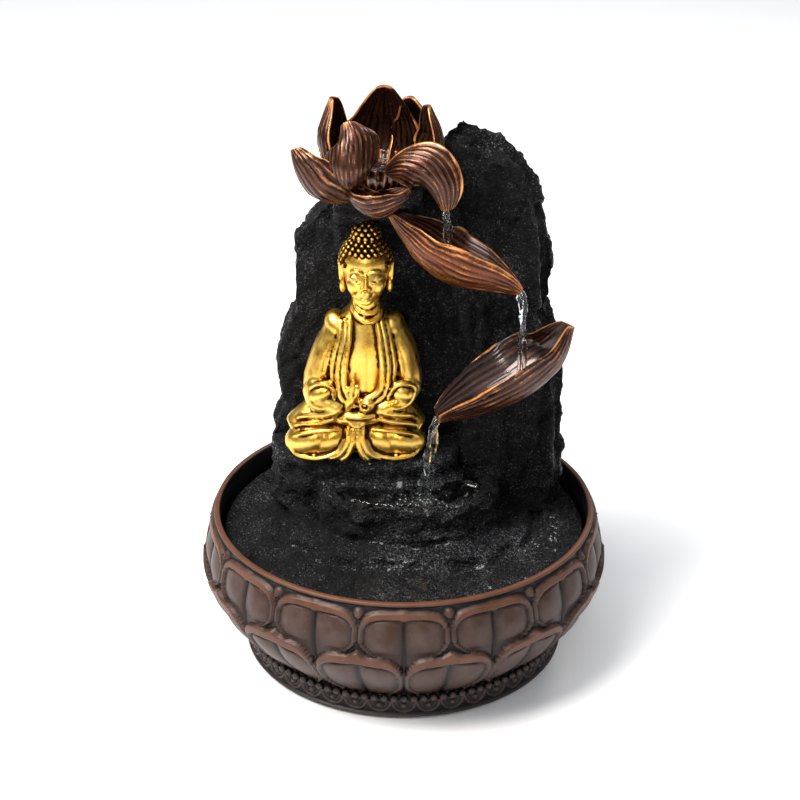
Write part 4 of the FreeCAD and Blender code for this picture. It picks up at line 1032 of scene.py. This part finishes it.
def rock_tray(finish):
    """The ground, mound and ledge: lumpy on top, bedded on their sides, plain underneath."""
    points, faces, edges, normals = remeshed(cad_copy("rock_tray"), ROCK_SKIN)
    n = unit(spread(normals, edges, 4))
    radius = np.hypot(points[:, 0], points[:, 1])
    near, next_near, label = cells(points + 2.0 * noise(points, 9.0, 70)[:, None], (11.0, 11.0, 7.0), 71)
    lumps = (label - 0.5) * 2.4 - 0.9 * (1.0 - step_up(0.0, 0.12, next_near - near))
    bed = np.abs(noise(points * [0.22, 0.22, 1.0], 4.2, 75)) * 1.5
    rough = fractal(points, 5.5, 4, 78) * 1.7
    side = 1.0 - np.abs(n[:, 2])
    top = (points[:, 2] > 63.0) & (n[:, 2] > -0.35)
    ledge = (points[:, 2] > LEDGE_Z - 2.0) & (n[:, 2] > 0.5)
    rim = 1.0 - step_up(86.5, 89.5, radius)
    amount = top * rim * np.where(ledge, 0.35, 1.0)
    points = points + n * (amount * (lumps * (0.7 + 0.5 * side) + bed * side + rough - 0.35))[:, None]
    slope = top * rim * (1.0 - side) * (radius < 89.0) * (points[:, 2] < 69.0)
    points[:, 2] += slope * fractal(points * [1.0, 1.0, 0.0], 26.0, 2, 82) * 1.3
    deep = hollowness(points, edges, normals, ROCK_ROUNDS)
    piece("rock_ground_stone", points, faces, finish, "rock_insert", ("rock_tray",),
          {"hollow": deep, "wet": wetness(points)}, False)


# Flower and leaf cups ---------------------------------------------------------------------------------

RIB_RISE = 1.30                    # from groove to crest of a leaf's ribs
LEAF_WALL = 1.7                    # thickness of a leaf at its keel


def leaf(name, finish, keel, up, width, depth, stands_for=(), curl=105.0, ribs=11, lip=1.1, seed=0,
         rounding=0.75, wet=0.0, fullest=0.5):
    """Cupped leaf. Its keel is a smooth curve; across it the leaf is an arc that turns curl degrees in all,
    so it opens towards up. Its width swells as sin(pi s)^rounding, where s is the way along raised to the
    power that puts the widest place at fullest. Ribs run from end to end with sharp grooves between them,
    and the edge is rolled outwards by lip. The skin goes round outside and back inside, closed at both ends."""
    rows, half = 110, 61
    t = np.linspace(0.0, 1.0, rows)
    line = spline(keel, rows)
    along = unit(np.gradient(line, axis=0))
    side = unit(np.cross(along, np.array(up, float)))
    rise = np.cross(side, along)
    swell = np.sin(np.pi * (0.035 + 0.93 * t) ** (math.log(0.5) / math.log(fullest))) ** rounding
    wave = 1.0 + 0.07 * noise(np.stack([t * 4.0, t * 0.0, t * 0.0], axis=-1), 1.0, seed)
    v = np.sin(np.linspace(-0.5, 0.5, half) * np.pi) * 0.35 + np.linspace(-1.0, 1.0, half) * 0.65
    theta = math.radians(curl)
    wander = v[None] + 0.05 * noise(np.stack([v[None] * 3.0 + 0 * t[:, None], 5.0 * t[:, None] + 0 * v[None],
                                              np.full((rows, half), seed * 1.7)], axis=-1), 1.0, seed + 3)
    coarse = 1.0 - np.abs(np.cos(np.pi * ribs * 0.5 * wander)) ** 1.6
    fine = 1.0 - np.abs(np.cos(np.pi * ribs * 1.17 * wander + 1.0)) ** 1.4
    broken = 0.5 + 0.5 * noise(np.stack([wander * ribs * 0.9, 7.0 * t[:, None] + 0 * v[None],
                                         np.full((rows, half), seed * 2.3)], axis=-1), 1.0, seed + 5)
    ridge = 0.42 * coarse + 0.26 * fine + 0.32 * broken
    fade = np.sin(np.pi * np.clip(t, 0.02, 0.98)) ** 0.35
    flat = np.sin(v * theta * 0.5) / math.sin(theta * 0.5)
    bowl = (1.0 - np.cos(v * theta * 0.5)) / (1.0 - math.cos(theta * 0.5))
    roll = np.abs(v) ** 14
    out_flat, out_bowl = np.sin(v * theta * 0.5) * 1.0, -np.cos(v * theta * 0.5)
    skins = []
    for inward in (0.0, 1.0):
        wall = LEAF_WALL * (1.0 - 0.45 * np.abs(v) ** 3)
        relief = RIB_RISE * (1.0 - 1.5 * inward)
        push = (-wall * inward)[None] + relief * (ridge - 0.5) * fade[:, None]
        push = push + lip * roll[None] * fade[:, None]
        x = (width * 0.5 * swell * wave)[:, None] * flat[None] + push * out_flat[None]
        y = (depth * swell)[:, None] * bowl[None] + push * out_bowl[None]
        skin = line[:, None] + side[:, None] * x[..., None] + rise[:, None] * y[..., None]
        skins.append(skin)
    edge = np.maximum(np.abs(v)[None] ** 16 * np.ones((rows, 1)), 0.8 * (np.abs(2.0 * t - 1.0) ** 12)[:, None])
    rings = np.concatenate([skins[0], skins[1][:, ::-1]], axis=1)
    points, faces = closed_tube(rings)
    # the inside of the cup gets lower rib and edge values than the outside: more painted shade and fewer
    # painted highlights inside
    rib_value = np.concatenate([ridge, 0.75 * ridge[:, ::-1]], axis=1).ravel()
    edge_value = np.concatenate([edge + 0.30, edge[:, ::-1] + 0.12], axis=1).ravel()
    wet_value = np.concatenate([np.zeros((rows, half)) + 0.15, np.full((rows, half), wet)], axis=1).ravel()
    values = {"rib": np.append(rib_value, (0.6, 0.6)), "edge": np.append(edge_value, (0.9, 0.9)),
              "wet": np.append(wet_value, (0.2, 0.2))}
    piece(name, points, faces, finish, "rock_insert", stands_for, values)


def flower(dark):
    """Open lotus: petals cupped round a wet throat, a closed bud petal in front and a spout leaf."""
    leaf("petal_front_bud", dark,
         [(-22, -13, 250), (-24, -29, 254), (-24.5, -35, 265), (-24.5, -30, 277),
         (-26, -22, 284)], (0.05, 1.0, 0.25), 23.5, 15, ("petal_front",), 165, 15, 0.2, 1, rounding=0.48,
         fullest=0.60)
    leaf("petal_far_left", dark,
         [(-22, -6, 246), (-31, -17, 243), (-42, -23, 249), (-49, -22, 260),
         (-51.5, -18, 269)], (0.55, 0.50, 0.85), 27, 15, ("petal_left",), 160, 13, 0.7, 2, rounding=0.55)
    leaf("petal_back_left", dark, [(-22, 2, 250), (-35, 2, 256), (-39, 3, 270), (-34, 3, 287)],
         (1.0, -0.30, 0.2), 30, 11, ("petal_back_left",), 140, 13, 0.9, 3, rounding=0.6)
    leaf("petal_back", dark, [(-13, 8, 250), (-11, 17, 258), (-9.5, 18, 274), (-9, 10, 290.5)],
         (0.0, -1.0, 0.25), 38, 10, ("petal_back",), 125, 13, 0.5, 4, rounding=0.6, fullest=0.42)
    leaf("petal_back_right", dark, [(-5, 7, 250), (5, 15, 258), (8, 15, 272), (3.5, 9, 285.5)],
         (-0.6, -0.9, 0.2), 23, 7, ("petal_back_right",), 130, 11, 0.5, 5, rounding=0.6)
    leaf("petal_right", dark, [(-1, 0, 250), (13, -3, 256), (17.5, -4, 270), (12, -5, 286)],
         (-1.0, -0.35, 0.2), 23, 9, ("petal_right",), 150, 11, 0.9, 6, rounding=0.6)
    leaf("petal_lip", dark, [(-27, -16, 250), (-20, -25, 243), (-12, -29, 241),
                                             (-3, -28, 245), (3, -24, 251)],
         (0.05, 0.25, 1.0), 20, 11, (), 150, 11, 0.9, 7, rounding=0.6)
    leaf("petal_inner_left", dark,
         [(-18, -2, 252), (-25, -4, 258), (-27.5, -7, 266), (-26, -8, 273)],
         (0.9, -0.1, 0.5), 15, 5, (), 110, 7, 0.4, 8)
    leaf("spout_leaf", dark, [(-9, -17, 258.5), (-1, -23, 262.5), (7, -26.5, 261),
                                             (13.5, -26.5, 254), (18.5, -24, 241.5)],
         (0.55, 0.62, -0.25), 24, 9, ("leaf_spout_upper",), 150, 11, 1.0, 9, rounding=0.6, wet=1.0,
         fullest=0.56)


def leaf_cups(bright, dark):
    """The two leaf cups the water falls into, and the stems that hold them to the wall."""
    leaf("middle_leaf", bright, [(-7, -7, 232), (0, -12, 222), (9, -16, 211), (22, -18, 203),
         (38, -17.5, 199.5), (54, -15.5, 196)], (0.20, 0.10, 1.0), 34, 22, ("leaf_cup_middle",), 172, 19, 0.7,
         12,
         rounding=0.72, wet=0.6, fullest=0.53)
    leaf("lower_leaf", dark, [(81, -10, 177), (74.5, -14, 160), (59, -17, 145.5),
                                             (38, -20, 136.5),
         (16.5, -25.0, 133.5)], (-0.42, 0.02, 1.0), 43, 21, ("leaf_cup_lower",), 160, 19, 0.7, 14,
         rounding=0.62, wet=0.7)
    for name, path in (("middle_leaf_stem", [(24, -7, 203), (23, 6, 204), (22, 24, 205)]),
                       ("lower_leaf_stem", [(54, -10, 143), (55, 4, 143), (56, 20, 145)])):
        points, faces = limb(path, [4.6, 4.0, 5.0], samples=30, sides=20)
        wave = noise(points, 2.2, 90)
        points = points + 0.4 * wave[:, None] * unit(points - points.mean(axis=0))
        values = {"rib": 0.5 + 0.5 * wave, "edge": np.full(len(points), 0.1), "wet": np.full(len(points), 0.3)}
        piece(name, points, faces, dark, "rock_insert", (), values)


def throat(dark):
    """Cup at the flower's heart, fluted all round, with a floor round the hose's end."""
    x, y, z = FLOWER
    profile = spline([(11.2, 0.0), (12.4, 2.0), (14.0, 6.0), (14.6, 10.0), (13.6, 10.4), (12.2, 8.0),
                      (8.6, 4.2), (3.0, 3.8), (2.6, 1.0)], 60)
    around = 96
    a = np.linspace(0.0, 2.0 * np.pi, around, endpoint=False)
    r = profile[:, :1] + 0.35 * np.sin(a * 22)[None]
    rings = np.stack([x + r * np.cos(a), y + r * np.sin(a), z + profile[:, 1:] + 0.0 * a[None]], axis=-1)
    points, faces = closed_tube(rings)
    rib = 0.5 + 0.5 * np.append(np.tile(np.sin(a * 22), len(profile)), (0, 0))
    values = {"rib": rib, "edge": np.full(len(points), 0.12), "wet": np.full(len(points), 0.9)}
    piece("flower_throat", points, faces, dark, "rock_insert", ("lotus_cup",), values)


# Water ----------------------------------------------------------------------------------------------

POOL_Z = 89.6                      # still level of the pool on the mound
POOL_FLOOR_Z = 86.0
LANDING = (11.6, -25.0)            # where the lowest thread meets the pool


def stream(name, finish, path, radii, seed):
    """A falling thread of water: two strands that wind round each other and swell and neck as they fall."""
    line = spline(path, 70)
    t = np.linspace(0.0, 1.0, 70)
    strands = []
    for k in (0, 1):
        turn = 5.0 * t + np.pi * k + seed
        gap = np.interp(t, [0.0, 0.3, 1.0], [0.2, 0.75, 1.1]) * np.interp(t, [0, 1], radii)
        strand = line + np.stack([np.cos(turn) * gap, np.sin(turn) * gap, 0.0 * t], axis=-1)
        beat = 1.0 + 0.28 * np.sin(t * 23.0 + seed + 2.0 * k) + 0.15 * np.sin(t * 51.0 + k)
        radius = np.interp(t, [0, 1], radii) * beat
        strands.append(limb(strand[::3], radius[::3].tolist(), samples=70, sides=12))
    points, faces = gather(strands)
    piece(name, points, faces, finish, "rock_insert")


def water():
    """Water on its way down: a pool in the flower's cup, three falling threads, drops, and the pool with its
    rings.
    """
    clear = clear_water("clear water", 1.6)
    stream("stream_upper", clear, [(18.6, -22, 244), (19.6, -22.6, 238), (20.4, -22.4, 226),
                                   (20.6, -21.5, 211)], (1.3, 1.0), 0.4)
    stream("stream_middle", clear, [(53.6, -15.4, 199), (55.6, -16.4, 193), (56.2, -17, 178),
                                    (56.0, -17.0, 152)], (1.5, 1.1), 1.7)
    stream("stream_lower", clear, [(18.5, -23.8, 137), (15, -25.5, 132), (12.6, -25.8, 114),
                                   (11.6, -25.0, 90.5)], (1.8, 1.3), 3.1)
    around, out = 96, 40
    a = np.linspace(0.0, 2.0 * np.pi, around, endpoint=False)
    s = np.linspace(0.03, 1.0, out)
    u, b = np.meshgrid(s, a, indexing="ij")
    shape = 1.0 + 0.10 * np.cos(2 * b + 0.5) + 0.05 * np.cos(3 * b)
    px = 4.0 + 34.0 * u * shape * np.cos(b)
    py = -13.0 + 17.0 * u * shape * np.sin(b)
    fall = np.hypot(px - LANDING[0], py - LANDING[1])
    swell = 0.35 * noise(np.stack([px, py, 0 * px], axis=-1), 5.0, 95)
    pz = POOL_Z + 0.5 * np.sin(fall * 1.35) * np.exp(-fall / 14.0) + swell
    top = np.stack([px, py, pz], axis=-1)
    low = top[::-1] * [1.0, 1.0, 0.0] + [0.0, 0.0, POOL_FLOOR_Z]
    points, faces = closed_tube(np.concatenate([top, low]))
    piece("pool_water", points, faces, clear, "rock_insert")
    rng = np.random.default_rng(SEED)
    drops = []
    for centre, count, spread_mm in (((11.5, -25, 91.0), 46, 7.0), ((20.6, -21, 213.0), 12, 3.0),
                                     ((56, -16, 156), 14, 3.2), ((8.0, -30, 91.5), 26, 9.0)):
        for _ in range(count):
            size = rng.uniform(0.28, 0.85)
            at = np.array(centre) + rng.normal(0.0, 1.0, 3) * (spread_mm, spread_mm * 0.5, 1.0)
            drops.append(ball(at, (size, size, size * 0.85), rows=7, columns=9))
    points, faces = gather(drops)
    piece("splash_drops", points, faces, clear, "rock_insert")
    x, y, z = FLOWER
    a = np.linspace(0.0, 2.0 * np.pi, 48, endpoint=False)
    dome = [(1.0, 9.8), (3.5, 9.0), (7.0, 8.6), (11.4, 8.4), (11.4, 7.6), (6.0, 7.0), (1.0, 7.0)]
    rings = np.stack([np.stack([x + r * np.cos(a), y + r * np.sin(a),
                                z + h + 0.25 * np.sin(5 * a) * (r / 11.0)],
                               axis=-1) for r, h in dome])
    points, faces = closed_tube(rings)
    piece("throat_water", points, faces, clear, "rock_insert")


# Pump and the other CAD pieces that show as they are ----------------------------------------------------

def dress(nodes, finish):
    """Puts one finish on CAD nodes whose shape is already right."""
    for name in nodes:
        mesh = frame["nodes"][name].data
        if mesh.materials:
            mesh.materials[0] = finish
        else:
            mesh.materials.append(finish)


def working_parts():
    """Finishes for the pump, its hose and the small fittings."""
    dress(["pump_housing", "intake_cover"], moulding("black moulding", (0.018, 0.018, 0.02), 0.42))
    dress(["volute_cover"], moulding("smooth black moulding", (0.022, 0.022, 0.024), 0.28))
    dress(["flow_knob"], moulding("grey moulding", (0.05, 0.052, 0.056), 0.35))
    dress(["foot_pads", "cable_grommet", "suction_cups", "lead_gland"],
          moulding("black rubber", (0.012, 0.012, 0.012), 0.62, 0.8, 0.05))
    dress(["volute_seal", "shaft_bush_front", "shaft_bush_rear"],
          moulding("seal rubber", (0.02, 0.02, 0.02), 0.5))
    dress(["rotor_shaft"], moulding("white ceramic", (0.72, 0.70, 0.66), 0.16, 0.4, 0.01))
    dress(["rotor_magnet"], moulding("ground ferrite", (0.045, 0.045, 0.048), 0.48, 0.25, 0.03))
    dress(["impeller"], moulding("off-white moulding", (0.62, 0.61, 0.58), 0.34))
    dress(["epoxy_potting"], moulding("cast black resin", (0.012, 0.012, 0.013), 0.22, 5.0, 0.1))
    dress(["stator_core"], stacked_steel())
    dress(["coil_winding"], wound_copper())
    dress(["filter_sponge"], open_foam())
    dress(["riser_tube"], clear_vinyl())
    dress(["tube_clips"], moulding("plain black resin", (0.014, 0.014, 0.016), 0.7, 1.0, 0.1))


# Set --------------------------------------------------------------------------------------------------

HORIZON_LIGHT, ZENITH_LIGHT = 0.10, 0.95
FLOOR_HALF = 6.0
LAMP_COLOUR = (1.0, 0.965, 0.92)
# name, place and aim in metres, width in metres, watts
LAMPS = (("key", (-0.57, -0.33, 1.10), (0, 0, 0.12), 0.66, 28.5),
         ("front", (-0.10, -1.25, 0.75), (0, 0, 0.13), 0.22, 3.0),
         ("rim", (0.55, 0.75, 0.70), (0, 0, 0.18), 0.25, 3.0))
CAMERA_AT = (-0.00186, -0.92, 0.6058)
CAMERA_DOWN = 27.217               # degrees below level
LENS_MM, SENSOR_MM = 95.14, 36.0


def overhead(tree):
    """World light that grows from dim at the horizon to bright straight up, like a large soft box."""
    background = tree.nodes["Background"]
    background.inputs["Color"].default_value = (0.90, 0.945, 1.0, 1.0)
    place = tree.nodes.new("ShaderNodeTexCoord")
    split = tree.nodes.new("ShaderNodeSeparateXYZ")
    grow = tree.nodes.new("ShaderNodeMapRange")
    for key, number in (("From Min", 0.15), ("From Max", 1.0), ("To Min", HORIZON_LIGHT),
                        ("To Max", ZENITH_LIGHT)):
        grow.inputs[key].default_value = number
    tree.links.new(place.outputs["Generated"], split.inputs[0])
    tree.links.new(split.outputs["Z"], grow.inputs["Value"])
    tree.links.new(grow.outputs[0], background.inputs["Strength"])


def studio():
    """White sweep, one large soft key from the upper left, weak fill, and the camera above and in front."""
    size = FLOOR_HALF
    mesh = bpy.data.meshes.new("floor")
    mesh.from_pydata([(-size, -size, 0), (size, -size, 0), (size, size, 0), (-size, size, 0)], [],
                     [(0, 1, 2, 3)])
    white = Finish("white sweep", Roughness=0.9, Specular_IOR_Level=0.1)
    white.feed(Base_Color=white.blend(white.grain(40.0), (0.93, 0.93, 0.94), (0.95, 0.95, 0.955)))
    mesh.materials.append(white.material)
    floor = bpy.data.objects.new("floor", mesh)
    bpy.context.scene.collection.objects.link(floor)
    sky = bpy.data.worlds.new("studio")
    bpy.context.scene.world = sky
    sky.use_nodes = True
    overhead(sky.node_tree)
    for name, place, aim, width, watts in LAMPS:
        lamp = bpy.data.lights.new(name, "AREA")
        lamp.size = width
        lamp.energy = watts
        lamp.color = LAMP_COLOUR
        thing = bpy.data.objects.new(name, lamp)
        thing.location = place
        way = np.array(aim) - np.array(place)
        thing.rotation_euler = (math.acos(-way[2] / np.linalg.norm(way)), 0.0, math.atan2(-way[0], way[1]))
        bpy.context.scene.collection.objects.link(thing)
    lens = bpy.data.cameras.new("camera")
    lens.lens = LENS_MM
    lens.sensor_width = SENSOR_MM
    lens.clip_start = 0.01
    camera = bpy.data.objects.new("camera", lens)
    camera.location = CAMERA_AT
    camera.rotation_euler = (math.radians(90.0 - CAMERA_DOWN), 0.0, 0.0)
    bpy.context.scene.collection.objects.link(camera)
    bpy.context.scene.camera = camera
    bpy.context.scene.view_settings.view_transform = "Standard"


def main():
    """Makes every piece, then the set."""
    basin()
    seat_ribs()
    foot_band()
    wall_stone = wet_rock("wall stone", 0.30, (0.0052, 0.0052, 0.0062))
    ground_stone = wet_rock("ground stone", 0.70, (0.0050, 0.0055, 0.0066))
    rock_wall(wall_stone)
    rear_panel(wall_stone)
    rock_tray(ground_stone)
    dark = leaf_copper("dark bronze", (0.095, 0.033, 0.017), (0.72, 0.29, 0.10), (0.007, 0.003, 0.002))
    bright = leaf_copper("copper bronze", (0.185, 0.050, 0.016), (0.82, 0.31, 0.080), (0.012, 0.004, 0.002))
    flower(dark)
    throat(dark)
    leaf_cups(bright, dark)
    seated_figure()
    water()
    working_parts()
    studio()


main()
